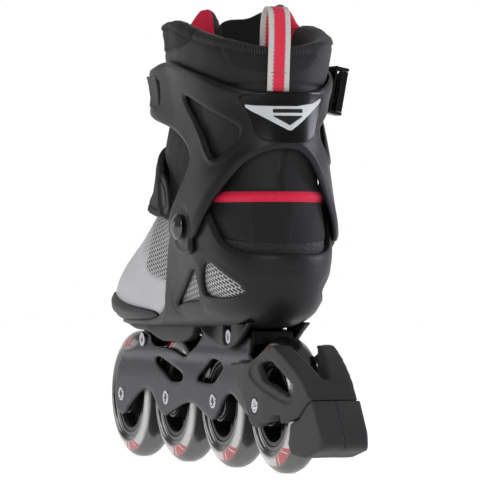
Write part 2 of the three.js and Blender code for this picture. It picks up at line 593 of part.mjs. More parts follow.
function leverSolid() {
  const [pinX, pinY] = LEVER_PIN;
  const outline = [[pinX + 1.2, pinY - 3], [pinX + 1.4, pinY + 3.4], [pinX - 3, pinY + 4],
    [pinX - 4.6, pinY - 6], [pinX - 5.4, -4], [pinX - 6.4, -22], [pinX - 4.8, -22.4],
    [pinX - 2.8, -4], [pinX - 1.6, pinY - 6]];
  const { halfWidth, pin } = BUCKLE;
  return extrude('z', outline, -halfWidth + GAP, halfWidth - GAP).subtract(
    rod('z', pinX, pinY, pin + GAP, -FAR, FAR, 12));
}

function latchSolid() {
  const [pinX, pinY] = LATCH_PIN;
  const outline = [[pinX + 2.2, pinY - 3], [pinX + 1.6, pinY + 7], [pinX - 1, pinY + 5],
    [pinX - 2.1, pinY], [pinX - 2.3, pinY - 6.5], [pinX - 0.6, pinY - 7]];
  const halfWidth = BUCKLE.halfWidth - GAP;
  return extrude('z', outline, -halfWidth, halfWidth).subtract(
    rod('z', pinX, pinY, BUCKLE.pin + GAP, -FAR, FAR, 12));
}

const pinRod = ([x, y]) => rod('z', x, y, BUCKLE.pin, -BUCKLE.halfWidth - 1.6, BUCKLE.halfWidth + 1.6, 12);
piece('buckle_base', 'plastic', buckleBase(), buckle);
piece('buckle_lever', 'plastic', leverSolid(), buckle);
piece('buckle_lever_pin', 'steel', pinRod(LEVER_PIN), buckle);
piece('buckle_latch', 'silver', latchSolid(), buckle);
piece('buckle_latch_pin', 'steel', pinRod(LATCH_PIN), buckle);

// ---------------------------------------------------------------- origin
// The finished part stands on the floor with its origin under the centre of its box.
const box = new THREE.Box3().setFromObject(skate, true);
const centre = box.getCenter(new THREE.Vector3());
skate.position.set(-centre.x, -centre.y, -box.min.z);

export default skate;
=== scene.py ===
"""Inline skate for the right foot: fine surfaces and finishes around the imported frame.

Sizes inside the classes are millimetres in the skate's own axes: the floor is z = 0, the middle
of the wheelbase is y = 0, +X is the inner side of the foot and +Y runs from the toe to the brake.
"""

import logging
from dataclasses import dataclass, field
from enum import Enum
from typing import Any, Callable, Sequence

import bmesh
import bpy
import numpy as np
from mathutils import Matrix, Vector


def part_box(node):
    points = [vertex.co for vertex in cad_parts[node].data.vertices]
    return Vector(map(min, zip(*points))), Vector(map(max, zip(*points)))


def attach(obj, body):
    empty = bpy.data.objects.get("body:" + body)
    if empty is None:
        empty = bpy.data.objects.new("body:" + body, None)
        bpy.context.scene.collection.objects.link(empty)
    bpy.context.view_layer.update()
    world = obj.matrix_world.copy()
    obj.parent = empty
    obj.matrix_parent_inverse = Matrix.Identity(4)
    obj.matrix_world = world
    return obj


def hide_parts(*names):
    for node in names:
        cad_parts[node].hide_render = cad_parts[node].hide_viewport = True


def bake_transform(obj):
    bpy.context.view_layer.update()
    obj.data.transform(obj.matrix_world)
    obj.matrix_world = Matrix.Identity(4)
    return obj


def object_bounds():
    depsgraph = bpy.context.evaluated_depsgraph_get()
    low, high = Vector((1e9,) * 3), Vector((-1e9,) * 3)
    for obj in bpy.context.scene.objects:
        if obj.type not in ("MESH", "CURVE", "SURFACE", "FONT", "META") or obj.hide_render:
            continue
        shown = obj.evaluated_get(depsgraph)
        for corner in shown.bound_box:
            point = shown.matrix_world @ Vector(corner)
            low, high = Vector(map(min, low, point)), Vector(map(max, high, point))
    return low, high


logging.basicConfig(level=logging.INFO, format="%(message)s")
log = logging.getLogger("skate")

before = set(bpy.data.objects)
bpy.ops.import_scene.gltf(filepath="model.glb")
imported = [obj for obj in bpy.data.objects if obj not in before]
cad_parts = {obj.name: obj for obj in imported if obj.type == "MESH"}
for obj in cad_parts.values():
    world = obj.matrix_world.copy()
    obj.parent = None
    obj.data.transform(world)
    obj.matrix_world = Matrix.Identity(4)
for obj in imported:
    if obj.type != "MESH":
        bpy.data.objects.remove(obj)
CAD_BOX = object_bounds()

Array = np.ndarray
Points = Sequence[tuple[float, float]]
Colour = tuple[float, float, float]
MM = 0.001
STEP = 1e-3  # step of a surface's parameters when its slope is measured
WELD = 2e-5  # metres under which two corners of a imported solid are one
FLAT_ANGLE = 1.5  # degrees under which an edge is cleared away
SHARP_ANGLE = 50.0  # degrees over which an edge stays sharp
WHEEL_RADIUS = 45.0
WHEEL_COUNT = 4


def skate_origin() -> Array:
    """Finds the skate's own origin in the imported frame, from the boxes of the end wheels.

    Returns:
        The origin in metres.
    """
    ends = [np.array(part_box(f"wheel_{number}_tyre")).mean(axis=0) for number in (1, WHEEL_COUNT)]
    middle = (ends[0] + ends[1]) / 2
    return middle - np.array([0.0, 0.0, WHEEL_RADIUS * MM])


ORIGIN = skate_origin()


def placed(points: Array) -> Array:
    """Turns the skate's own millimetres into the frame's metres."""
    return np.asarray(points, float) * MM + ORIGIN


class Body(Enum):
    """Rigid bodies of the frame that pieces ride on."""

    ROOT = "root"
    CUFF = "cuff"
    LEVER = "buckle_lever"
    LATCH = "buckle_latch"


# ---- small maths
def smooth(low: float, high: float, value: Array) -> Array:
    """Smooth step from 0 at low to 1 at high."""
    t = np.clip((value - low) / (high - low), 0.0, 1.0)
    return t * t * (3.0 - 2.0 * t)


def bell(value: Array, width: float) -> Array:
    """Bell curve that is 1 at zero and dies away over a width."""
    return np.exp(-((value / width) ** 2))


def unit(vectors: Array) -> Array:
    """Vectors scaled to length one."""
    return vectors / np.maximum(np.linalg.norm(vectors, axis=-1, keepdims=True), 1e-9)


def running(steps: Array) -> Array:
    """Sums of the steps so far, starting at zero."""
    return np.concatenate([[0.0], np.cumsum(steps)])


def arc_length(line: Array) -> Array:
    """Length along a line of points up to each of them."""
    return running(np.linalg.norm(np.diff(line, axis=0), axis=1))


def signed_area(ring: Array) -> float:
    """Twice the area of a closed outline, positive when it runs counter-clockwise."""
    after = np.roll(ring, -1, axis=0)
    return np.sum(ring[:, 0] * after[:, 1] - after[:, 0] * ring[:, 1])


def catmull_rom(p0: Array, p1: Array, p2: Array, p3: Array, t: Array) -> Array:
    """Cubic from p1 to p2 whose ends run parallel to the lines from p0 to p2 and p1 to p3."""
    curve = 2 * p1 + (p2 - p0) * t + (2 * p0 - 5 * p1 + 4 * p2 - p3) * t**2
    return 0.5 * (curve + (3 * p1 - p0 - 3 * p2 + p3) * t**3)


def tangents(locate: Callable[[Array, Array], Array], a: Array, b: Array) -> tuple[Array, Array]:
    """Differences of a surface over two steps of each of its parameters."""
    return (locate(a + STEP, b) - locate(a - STEP, b), locate(a, b + STEP) - locate(a, b - STEP))


def lighter(colour: Sequence[float], gain: float, lift: float) -> Colour:
    """Colour scaled and lifted, with each channel kept at one or less."""
    return tuple(min(channel * gain + lift, 1.0) for channel in colour)


class Plane(Enum):
    """Plane that an outline is drawn in, as the two axes it uses."""

    SIDE = (1, 2)
    REAR = (0, 2)


@dataclass(frozen=True)
class Outline:
    """Closed outline in one plane, cut through everything across it.

    Attributes:
        corners: corner points, going round.
        plane: plane of the points.
        rounding: how many times each corner is cut to a curve.
    """

    corners: Points
    plane: Plane = Plane.SIDE
    rounding: int = 2

    def rounded(self) -> Array:
        """Corner points after cutting each corner at a quarter of its edges."""
        points = np.array(self.corners, float)
        for _ in range(self.rounding):
            after = np.roll(points, -1, axis=0)
            pairs = [0.75 * points + 0.25 * after, 0.25 * points + 0.75 * after]
            points = np.stack(pairs, 1).reshape(-1, 2)
        return points

    def distance(self, points: Array) -> Array:
        """Signed distance to the outline, negative inside.

        Args:
            points: places, with x, y and z in the last axis.

        Returns:
            The distance at each place: to the nearest edge, with the sign by crossing number.
        """
        flat = points[..., list(self.plane.value)]
        best = np.full(flat.shape[:-1], 1e9)
        inside = np.zeros(flat.shape[:-1], bool)
        ring = self.rounded()
        for start, end in zip(ring, np.roll(ring, -1, axis=0)):
            edge = end - start
            rel = flat - start
            t = np.clip((rel @ edge) / (edge @ edge), 0.0, 1.0)
            best = np.minimum(best, ((rel - t[..., None] * edge) ** 2).sum(-1))
            above = (start[1] > flat[..., 1]) != (end[1] > flat[..., 1])
            rise = edge[1] if abs(edge[1]) > 1e-9 else 1e-9
            inside ^= above & (flat[..., 0] < start[0] + edge[0] * (flat[..., 1] - start[1]) / rise)
        return np.where(inside, -1.0, 1.0) * np.sqrt(best)


def below(line: Points, points: Array) -> Array:
    """Height of points over a line in the side view, negative under it."""
    (y0, z0), (y1, z1) = line
    slope = (z1 - z0) / (y1 - y0)
    return (points[..., 2] - z0 - slope * (points[..., 1] - y0)) / np.hypot(1.0, slope)


# ---- meshes
def linked(name: str, data: Any) -> Any:
    """Object around mesh, light or camera data, put in the scene."""
    item = bpy.data.objects.new(name, data)
    bpy.context.scene.collection.objects.link(item)
    return item


def from_bmesh(name: str, mesh: Any) -> Any:
    """Object from a mesh under construction, which is freed."""
    data = bpy.data.meshes.new(name)
    mesh.to_mesh(data)
    mesh.free()
    return linked(name, data)


def make_object(name: str, points: Array, faces: Array, uv: Array | None = None) -> Any:
    """Makes a smooth mesh object.

    Args:
        name: name of the piece.
        points: vertices in the skate's millimetres.
        faces: vertex numbers, one row for each face.
        uv: optional map coordinates of the vertices, in metres.

    Returns:
        The new object, at the origin.
    """
    faces = np.asarray(faces, np.int32)
    mesh = bpy.data.meshes.new(name)
    mesh.vertices.add(len(points))
    mesh.vertices.foreach_set("co", placed(points).astype(np.float32).ravel())
    mesh.loops.add(faces.size)
    mesh.loops.foreach_set("vertex_index", faces.ravel())
    mesh.polygons.add(len(faces))
    starts = np.arange(0, faces.size, faces.shape[1], dtype=np.int32)
    mesh.polygons.foreach_set("loop_start", starts)
    mesh.polygons.foreach_set("use_smooth", np.ones(len(faces), bool))
    if uv is not None:
        layer = mesh.uv_layers.new(name="surface")
        layer.data.foreach_set("uv", np.asarray(uv, np.float32)[faces.ravel()].ravel())
    mesh.update(calc_edges=True)
    mesh.validate()
    return linked(name, mesh)


def joined(name: str, parts: Sequence[tuple[Array, Array]]) -> Any:
    """One object from several sets of points and faces with the same number of corners."""
    starts = running([len(points) for points, _ in parts]).astype(int)
    faces = [faces + start for (_, faces), start in zip(parts, starts)]
    return make_object(name, np.concatenate([points for points, _ in parts]),
                       np.concatenate(faces))


def paint(item: Any, name: str, values: Array) -> None:
    """Stores one number at each vertex, which a finish reads by its name."""
    layer = item.data.attributes.new(name, "FLOAT", "POINT")
    layer.data.foreach_set("value", np.asarray(values, np.float32))


def grid_faces(rows: int, columns: int, wrap_rows: bool, wrap_columns: bool) -> Array:
    """Quads of a grid of points that are numbered row by row.

    Args:
        rows: number of rows.
        columns: points in each row.
        wrap_rows: whether the last row joins the first.
        wrap_columns: whether each row closes on itself.

    Returns:
        The quads.
    """
    i = np.arange(rows if wrap_rows else rows - 1)
    j = np.arange(columns if wrap_columns else columns - 1)
    i, j = np.meshgrid(i, j, indexing="ij")
    i1, j1 = (i + 1) % rows, (j + 1) % columns
    quads = np.stack([i * columns + j, i1 * columns + j, i1 * columns + j1, i * columns + j1], -1)
    return quads.reshape(-1, 4)


@dataclass
class Sheet:
    """Curved wall cut out of a surface, with round lips along its edges.

    Attributes:
        locate: surface point for two parameters.
        first: values of the first parameter, a grid line for each.
        second: values of the second parameter.
        wraps: whether the second parameter closes on itself.
        region: signed distance of a place to the cut, negative where there is wall.
        inner: distance of the wall's inner face from the surface.
        outer: distance of the outer face, from the place and its distance to the cut.
        lip: how far the round edge stands past the cut, as a share of half the thickness.
    """

    locate: Callable[[Array, Array], Array]
    first: Array
    second: Array
    wraps: bool
    region: Callable[[Array], Array]
    inner: Callable[[Array, Array], Array]
    outer: Callable[[Array, Array], Array]
    lip: float = 0.6
    lip_steps: int = 5
    side: float = 1.0

    def climb(self, place: Array, tangent: Array, value: Array, step: float
              ) -> tuple[Array, Array]:
        """How fast the cut's distance grows along a tangent, and the tangent's square.

        Args:
            place: points of the surface.
            tangent: direction at each point.
            value: distance of each point to the cut.
            step: length of the step that is tried.

        Returns:
            The slope and the squared length.
        """
        slope = (self.region(place + tangent * step) - value) / step
        return slope, np.maximum((tangent**2).sum(-1), 1e-6)

    def build(self, name: str) -> Any:
        """Cuts the grid, slides its edge onto the cut and closes the wall.

        Args:
            name: name of the piece.

        Returns:
            The piece, with its distance to the cut stored as "edge" and its side as "face".
        """
        a, b = (grid.ravel() for grid in np.meshgrid(self.first, self.second, indexing="ij"))
        rows, columns = len(self.first), len(self.second)
        quads = grid_faces(rows, columns, False, self.wraps)
        cut = self.region(self.locate(a, b))
        kept = quads[cut[quads].mean(axis=1) < 0]
        uses = np.bincount(kept.ravel(), minlength=a.size)
        total = np.bincount(quads.ravel(), minlength=a.size)
        moving = np.flatnonzero((uses > 0) & (uses < total))
        a[moving], b[moving] = self.snapped(a[moving], b[moving])
        used = np.flatnonzero(uses > 0)
        renumber = np.zeros(a.size, np.int64)
        renumber[used] = np.arange(used.size)
        kept = renumber[kept]
        a, b = a[used], b[used]
        base = self.locate(a, b)
        cut = np.minimum(self.region(base), 0.0)
        along, around = (step / (2 * STEP) for step in tangents(self.locate, a, b))
        normal = unit(np.cross(along, around)) * self.side
        inner = base + normal * self.inner(base, cut)[:, None]
        outer = base + normal * self.outer(base, cut)[:, None]
        rim_start, rim_end = self.open_edges(kept)
        outward = self.outward(a, b, along, around)
        size = used.size
        points, faces = [outer, inner], [kept, kept[:, ::-1] + size]
        uv = [self.arc_map(used, rows, columns)] * 2
        face = [np.ones(size), np.zeros(size)]
        edge_points = np.unique(rim_start)
        order = np.zeros(size, np.int64)
        order[edge_points] = np.arange(edge_points.size)
        middle = (outer + inner)[edge_points] / 2
        half = (outer - inner)[edge_points] / 2
        depth = np.linalg.norm(half, axis=1, keepdims=True)
        previous_start, previous_end = rim_start, rim_end
        count = 2 * size
        for step in range(1, self.lip_steps):
            turn = np.pi * step / self.lip_steps
            bulge = outward[edge_points] * depth * self.lip
            points.append(middle + half * np.cos(turn) + bulge * np.sin(turn))
            uv.append(uv[0][edge_points])
            face.append(np.full(edge_points.size, 0.5 + 0.5 * np.cos(turn)))
            start, end = count + order[rim_start], count + order[rim_end]
            faces.append(np.stack([previous_end, previous_start, start, end], 1))
            previous_start, previous_end = start, end
            count += edge_points.size
        faces.append(np.stack([previous_end, previous_start, rim_start + size, rim_end + size], 1))
        everything = np.concatenate(faces)
        if self.side < 0:
            everything = everything[:, ::-1]
        item = make_object(name, np.concatenate(points), everything, np.concatenate(uv))
        paint(item, "edge", np.concatenate([cut, cut, np.zeros(count - 2 * size)]))
        paint(item, "face", np.concatenate(face))
        return item

    def snapped(self, a: Array, b: Array) -> tuple[Array, Array]:
        """Slides grid points along the surface until they lie on the cut (Newton's method).

        Args:
            a: first parameter of the points.
            b: second parameter.

        Returns:
            Both parameters after sliding.
        """
        reach_a = np.abs(np.diff(self.first)).max()
        reach_b = np.abs(np.diff(self.second)).max()
        start_a, start_b = a.copy(), b.copy()
        for _ in range(5):
            place = self.locate(a, b)
            value = self.region(place)
            along = (self.locate(a + STEP, b) - place) / STEP
            around = (self.locate(a, b + STEP) - place) / STEP
            slope_a, size_a = self.climb(place, along, value, STEP)
            slope_b, size_b = self.climb(place, around, value, STEP)
            scale = -value / np.maximum(slope_a**2 / size_a + slope_b**2 / size_b, 1e-3)
            a = np.clip(a + scale * slope_a / size_a, start_a - reach_a, start_a + reach_a)
            b = np.clip(b + scale * slope_b / size_b, start_b - reach_b, start_b + reach_b)
            a = np.clip(a, self.first[0], self.first[-1])
        return a, b

    def outward(self, a: Array, b: Array, along: Array, around: Array) -> Array:
        """Direction in the surface that leads away from the wall across its edge."""
        place = self.locate(a, b)
        value = self.region(place)
        slope_a, size_a = self.climb(place, along, value, 10 * STEP)
        slope_b, size_b = self.climb(place, around, value, 10 * STEP)
        return unit(along * (slope_a / size_a)[:, None] + around * (slope_b / size_b)[:, None])

    @staticmethod
    def open_edges(faces: Array) -> tuple[Array, Array]:
        """Edges that belong to one face only, in that face's direction."""
        starts = faces.ravel()
        ends = np.roll(faces, -1, axis=1).ravel()
        size = faces.max() + 1
        open_edge = ~np.isin(starts * size + ends, ends * size + starts)
        return starts[open_edge], ends[open_edge]

    def arc_map(self, used: Array, rows: int, columns: int) -> Array:
        """Map coordinates in metres, from the lengths along the middle grid lines."""
        along = self.locate(self.first, np.full(rows, self.second[columns // 4]))
        around = self.locate(np.full(columns, self.first[rows // 2]), self.second)
        return np.stack([(arc_length(along) * MM)[used // columns],
                         (arc_length(around) * MM)[used % columns]], 1)


def attribute(item: Any, name: str) -> Array:
    """Numbers that are stored at the vertices under a name."""
    values = np.zeros(len(item.data.vertices), np.float32)
    item.data.attributes[name].data.foreach_get("value", values)
    return values


def skate_points(item: Any) -> Array:
    """Vertices of a piece in the skate's millimetres."""
    places = np.zeros(3 * len(item.data.vertices), np.float32)
    item.data.vertices.foreach_get("co", places)
    return (places.reshape(-1, 3) - ORIGIN) / MM


def wall_face(value: Any, base: float = 0.0) -> Callable[[Array, Array], Array]:
    """Distance of a wall's face as a function of place and edge, measured from a base."""
    if callable(value):
        return lambda points, cut: value(points, cut) - base
    return lambda points, cut: np.full(len(points), value - base)


def mask(distance: Array) -> Array:
    """Distance to an edge as a number that passes one half there, for a crisp painted edge."""
    return np.clip(0.5 - distance / 6.0, 0.0, 1.0)


def rounded(corners: Points, size: float = 0.5, steps: int = 4) -> Array:
    """Closed profile whose corners are replaced by short curves.

    Args:
        corners: corner points.
        size: how far each curve reaches along the edges.
        steps: points of each curve.

    Returns:
        The finer profile.
    """
    points = np.array(corners, float)
    before, after = np.roll(points, 1, axis=0), np.roll(points, -1, axis=0)
    result = []
    for corner, start, end in zip(points, before, after):
        reach = [min(size, np.linalg.norm(other - corner) * 0.45) for other in (start, end)]
        first = corner + unit(start - corner) * reach[0]
        last = corner + unit(end - corner) * reach[1]
        for t in np.linspace(0, 1, steps):
            result.append((1 - t) ** 2 * first + 2 * t * (1 - t) * corner + t * t * last)
    return np.array(result)


def prism(name: str, corners: Points, axis: int, low: float, high: float, bevel: float,
          corner_size: float = 3.0) -> Any:
    """Straight block across an outline, with rounded corners and rounded ends.

    Args:
        name: name of the piece.
        corners: outline in the two axes that are left, in their order.
        axis: axis that the block runs along, 0 for X.
        low: start on that axis.
        high: end on that axis.
        bevel: radius of the rounded ends.
        corner_size: reach of the rounded corners of the outline.

    Returns:
        The block.
    """
    ring = rounded(corners, corner_size, 5)
    edge = unit(np.roll(ring, -1, axis=0) - np.roll(ring, 1, axis=0))
    inward = np.stack([-edge[:, 1], edge[:, 0]], 1)
    inward = inward * np.sign(signed_area(ring))
    rings = [(low + bevel * (1 - np.cos(t)), bevel * (1 - np.sin(t)))
             for t in np.linspace(0, np.pi / 2, 5)]
    rings += [(high - place + low, inset) for place, inset in rings[::-1]]
    points = [np.insert(ring + inward * inset, axis, place, axis=1) for place, inset in rings]
    mesh = bmesh.new()
    made = [[mesh.verts.new(placed(point)) for point in layer] for layer in points]
    for first, second in zip(made, made[1:]):
        for i, vertex in enumerate(first):
            j = (i + 1) % len(first)
            mesh.faces.new((vertex, first[j], second[j], second[i]))
    caps = [mesh.faces.new(made[0][::-1]), mesh.faces.new(made[-1])]
    bmesh.ops.triangulate(mesh, faces=caps)
    bmesh.ops.recalc_face_normals(mesh, faces=mesh.faces)
    for face in mesh.faces:
        face.smooth = True
    return from_bmesh(name, mesh)


def merged(name: str, items: Sequence[Any]) -> Any:
    """One object from several, which are removed."""
    mesh = bmesh.new()
    for item in items:
        mesh.from_mesh(item.data)
        bpy.data.objects.remove(item)
    return from_bmesh(name, mesh)


def refined(name: str, nodes: Sequence[str], width: float, angle: float = 24.0,
            steps: int = 3) -> Any:
    """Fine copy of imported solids: merged, cleared of flat edges, with every corner rounded.

    Args:
        name: name of the piece.
        nodes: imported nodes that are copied.
        width: width of the rounding in millimetres.
        angle: smallest corner in degrees that is rounded.
        steps: segments of each rounding.

    Returns:
        The piece.
    """
    mesh = bmesh.new()
    for node in nodes:
        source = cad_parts[node]
        part = source.data.copy()
        part.transform(source.matrix_world)
        mesh.from_mesh(part)
        bpy.data.meshes.remove(part)
    bmesh.ops.remove_doubles(mesh, verts=mesh.verts, dist=WELD)
    bmesh.ops.dissolve_limit(mesh, angle_limit=np.radians(FLAT_ANGLE), verts=mesh.verts,
                             edges=mesh.edges)
    corners = [edge for edge in mesh.edges
               if len(edge.link_faces) == 2 and edge.calc_face_angle(0.0) > np.radians(angle)]
    if width:
        bmesh.ops.bevel(mesh, geom=corners, offset=width * MM, offset_type="OFFSET",
                        segments=steps, profile=0.5, affect="EDGES", clamp_overlap=True)
    bmesh.ops.triangulate(mesh, faces=[face for face in mesh.faces if len(face.verts) > 4])
    for face in mesh.faces:
        face.smooth = True
    for edge in mesh.edges:
        if len(edge.link_faces) == 2:
            edge.smooth = edge.calc_face_angle(0.0) < np.radians(SHARP_ANGLE)
    bmesh.ops.recalc_face_normals(mesh, faces=mesh.faces)
    item = from_bmesh(name, mesh)
    item.modifiers.new("flat_faces", "WEIGHTED_NORMAL").keep_sharp = True
    return item


def melted(name: str, nodes: Sequence[str], grain: float, rounds: int) -> Any:
    """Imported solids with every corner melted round, as one even mesh.

    Args:
        name: name of the piece.
        nodes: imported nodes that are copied.
        grain: size of the new faces in millimetres.
        rounds: how often the surface is smoothed.

    Returns:
        The piece.
    """
    source = refined(name + "_rough", nodes, 0.0)
    source.modifiers.clear()
    remesh = source.modifiers.new("even", "REMESH")
    remesh.mode = "VOXEL"
    remesh.voxel_size = grain * MM
    relax = source.modifiers.new("relax", "SMOOTH")
    relax.factor, relax.iterations = 0.5, rounds
    graph = bpy.context.evaluated_depsgraph_get()
    data = bpy.data.meshes.new_from_object(source.evaluated_get(graph))
    data.name = name
    data.polygons.foreach_set("use_smooth", np.ones(len(data.polygons), bool))
    item = linked(name, data)
    bpy.data.objects.remove(source)
    return item


# ---- shader tools
class Link:
    """Output of a shader node, on which arithmetic adds Math nodes."""

    def __init__(self, finish: "Shader", socket: Any) -> None:
        """Keeps the finish that the node belongs to and its output socket."""
        self.finish = finish
        self.socket = socket

    def math(self, operation: str, *others: Any) -> "Link":
        """Math node on this value and others."""
        values = dict(enumerate((self, *others)))
        return self.finish.node("ShaderNodeMath", {"operation": operation}, values)

    def __add__(self, other: Any) -> "Link":
        """Sum."""
        return self.math("ADD", other)

    __radd__ = __add__

    def __sub__(self, other: Any) -> "Link":
        """Difference."""
        return self.math("SUBTRACT", other)

    def __rsub__(self, other: Any) -> "Link":
        """Difference from the left."""
        return self.finish.node("ShaderNodeMath", {"operation": "SUBTRACT"}, {0: other, 1: self})

    def __mul__(self, other: Any) -> "Link":
        """Product."""
        return self.math("MULTIPLY", other)

    __rmul__ = __mul__

    def __truediv__(self, other: Any) -> "Link":
        """Quotient."""
        return self.math("DIVIDE", other)

    def __pow__(self, other: Any) -> "Link":
        """Power."""
        return self.math("POWER", other)

    def sin(self) -> "Link":
        """Sine."""
        return self.math("SINE")

    def fract(self) -> "Link":
        """Part after the whole number."""
        return self.math("FRACT")

    def magnitude(self) -> "Link":
        """Value without its sign."""
        return self.math("ABSOLUTE")

    def step(self, low: float, high: float) -> "Link":
        """Smooth step from 0 at low to 1 at high."""
        inputs = {"Value": self, "From Min": low, "From Max": high}
        return self.finish.node("ShaderNodeMapRange", {"interpolation_type": "SMOOTHSTEP"}, inputs)


class Shader:
    """One material and its node tree."""

    def __init__(self, name: str) -> None:
        """Starts an empty material with a Principled shader.

        Args:
            name: name of the finish.
        """
        self.material = bpy.data.materials.new(name)
        self.material.use_nodes = True
        self.tree = self.material.node_tree
        self.tree.nodes.clear()
        self.surface = self.tree.nodes.new("ShaderNodeBsdfPrincipled")
        output = self.tree.nodes.new("ShaderNodeOutputMaterial")
        self.tree.links.new(self.surface.outputs[0], output.inputs[0])

    def fill(self, target: Any, value: Any) -> None:
        """Puts a number, a colour or a link into an input socket."""
        if isinstance(value, Link):
            self.tree.links.new(value.socket, target)
        elif isinstance(value, (tuple, list)) and len(value) == 3 and target.type == "RGBA":
            target.default_value = (*value, 1.0)
        else:
            target.default_value = value

    def node(self, kind: str, settings: dict, inputs: dict, output: Any = 0) -> Link:
        """Adds any node.

        Args:
            kind: Blender's name of the node type.
            settings: properties that are set before the inputs.
            inputs: socket names or numbers with their values or links.
            output: name or number of the output to return.

        Returns:
            The chosen output.
        """
        made = self.tree.nodes.new(kind)
        for key, value in settings.items():
            setattr(made, key, value)
        for key, value in inputs.items():
            self.fill(made.inputs[key], value)
        return Link(self, made.outputs[output])

    def place(self) -> Link:
        """Position on the object, in metres."""
        return self.node("ShaderNodeTexCoord", {}, {}, "Object")

    def parts(self, vector: Link) -> tuple[Link, Link, Link]:
        """The three numbers of a vector."""
        made = self.tree.nodes.new("ShaderNodeSeparateXYZ")
        self.fill(made.inputs[0], vector)
        return tuple(Link(self, made.outputs[i]) for i in range(3))

    def along(self) -> tuple[Link, Link]:
        """The piece's own map coordinates, in metres along the surface."""
        return self.parts(self.node("ShaderNodeTexCoord", {}, {}, "UV"))[:2]

    def painted(self, name: str) -> Link:
        """Number that is stored at the vertices under a name."""
        return self.node("ShaderNodeAttribute", {"attribute_name": name}, {}, "Fac")

    def noise(self, size_mm: float, detail: float = 3.0, vector: Link | None = None) -> Link:
        """Noise with features of a size, around one half."""
        inputs = {"Vector": vector or self.place(), "Scale": 1.0 / (size_mm * MM), "Detail": detail}
        return self.node("ShaderNodeTexNoise", {}, inputs, 0)

    def streaks(self, size_mm: float, stretch: Colour) -> Link:
        """Noise that is drawn out along each axis with a small share."""
        mapped = self.node("ShaderNodeMapping", {}, {"Vector": self.place(), "Scale": stretch})
        return self.noise(size_mm, 3.0, mapped)

    def mix(self, factor: Any, first: Any, second: Any) -> Link:
        """Colour between two colours.

        Args:
            factor: share of the second colour.
            first: colour at 0.
            second: colour at 1.

        Returns:
            The mixed colour.
        """
        made = self.tree.nodes.new("ShaderNodeMix")
        made.data_type = "RGBA"
        for socket, value in zip((made.inputs[0], made.inputs[6], made.inputs[7]),
                                 (factor, first, second)):
            self.fill(socket, value)
        return Link(self, made.outputs[2])

    def bump(self, height: Link, depth_mm: float, strength: float = 1.0,
             normal: Link | None = None) -> Link:
        """Normal of a relief whose height runs from 0 to 1 over a depth.

        Args:
            height: relief.
            depth_mm: its depth.
            strength: how much of it shows.
            normal: optional normal that it is added to.

        Returns:
            The new normal.
        """
        inputs = {"Height": height, "Distance": depth_mm * MM, "Strength": strength}
        if normal:
            inputs["Normal"] = normal
        return self.node("ShaderNodeBump", {}, inputs)

    def set(self, **inputs: Any) -> Any:
        """Fills inputs of the Principled shader, with _ for a space, and returns the material."""
        for key, value in inputs.items():
            self.fill(self.surface.inputs[key.replace("_", " ")], value)
        return self.material


def dress(item: Any, material: Any) -> None:
    """Gives a piece its only material."""
    item.data.materials.clear()
    item.data.materials.append(material)


def hand_over(item: Any, material: Any, body: Body | str,
              nodes: Sequence[str]) -> None:
    """Dresses a finished piece, rides it on its body and hides the CAD nodes that it replaces.

    Args:
        item: the piece.
        material: its only material.
        body: body that it moves with.
        nodes: CAD nodes that it replaces.
    """
    dress(item, material)
    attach(item, body.value if isinstance(body, Body) else body)
    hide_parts(*nodes)
    log.info("%s rides %s", item.name, body)


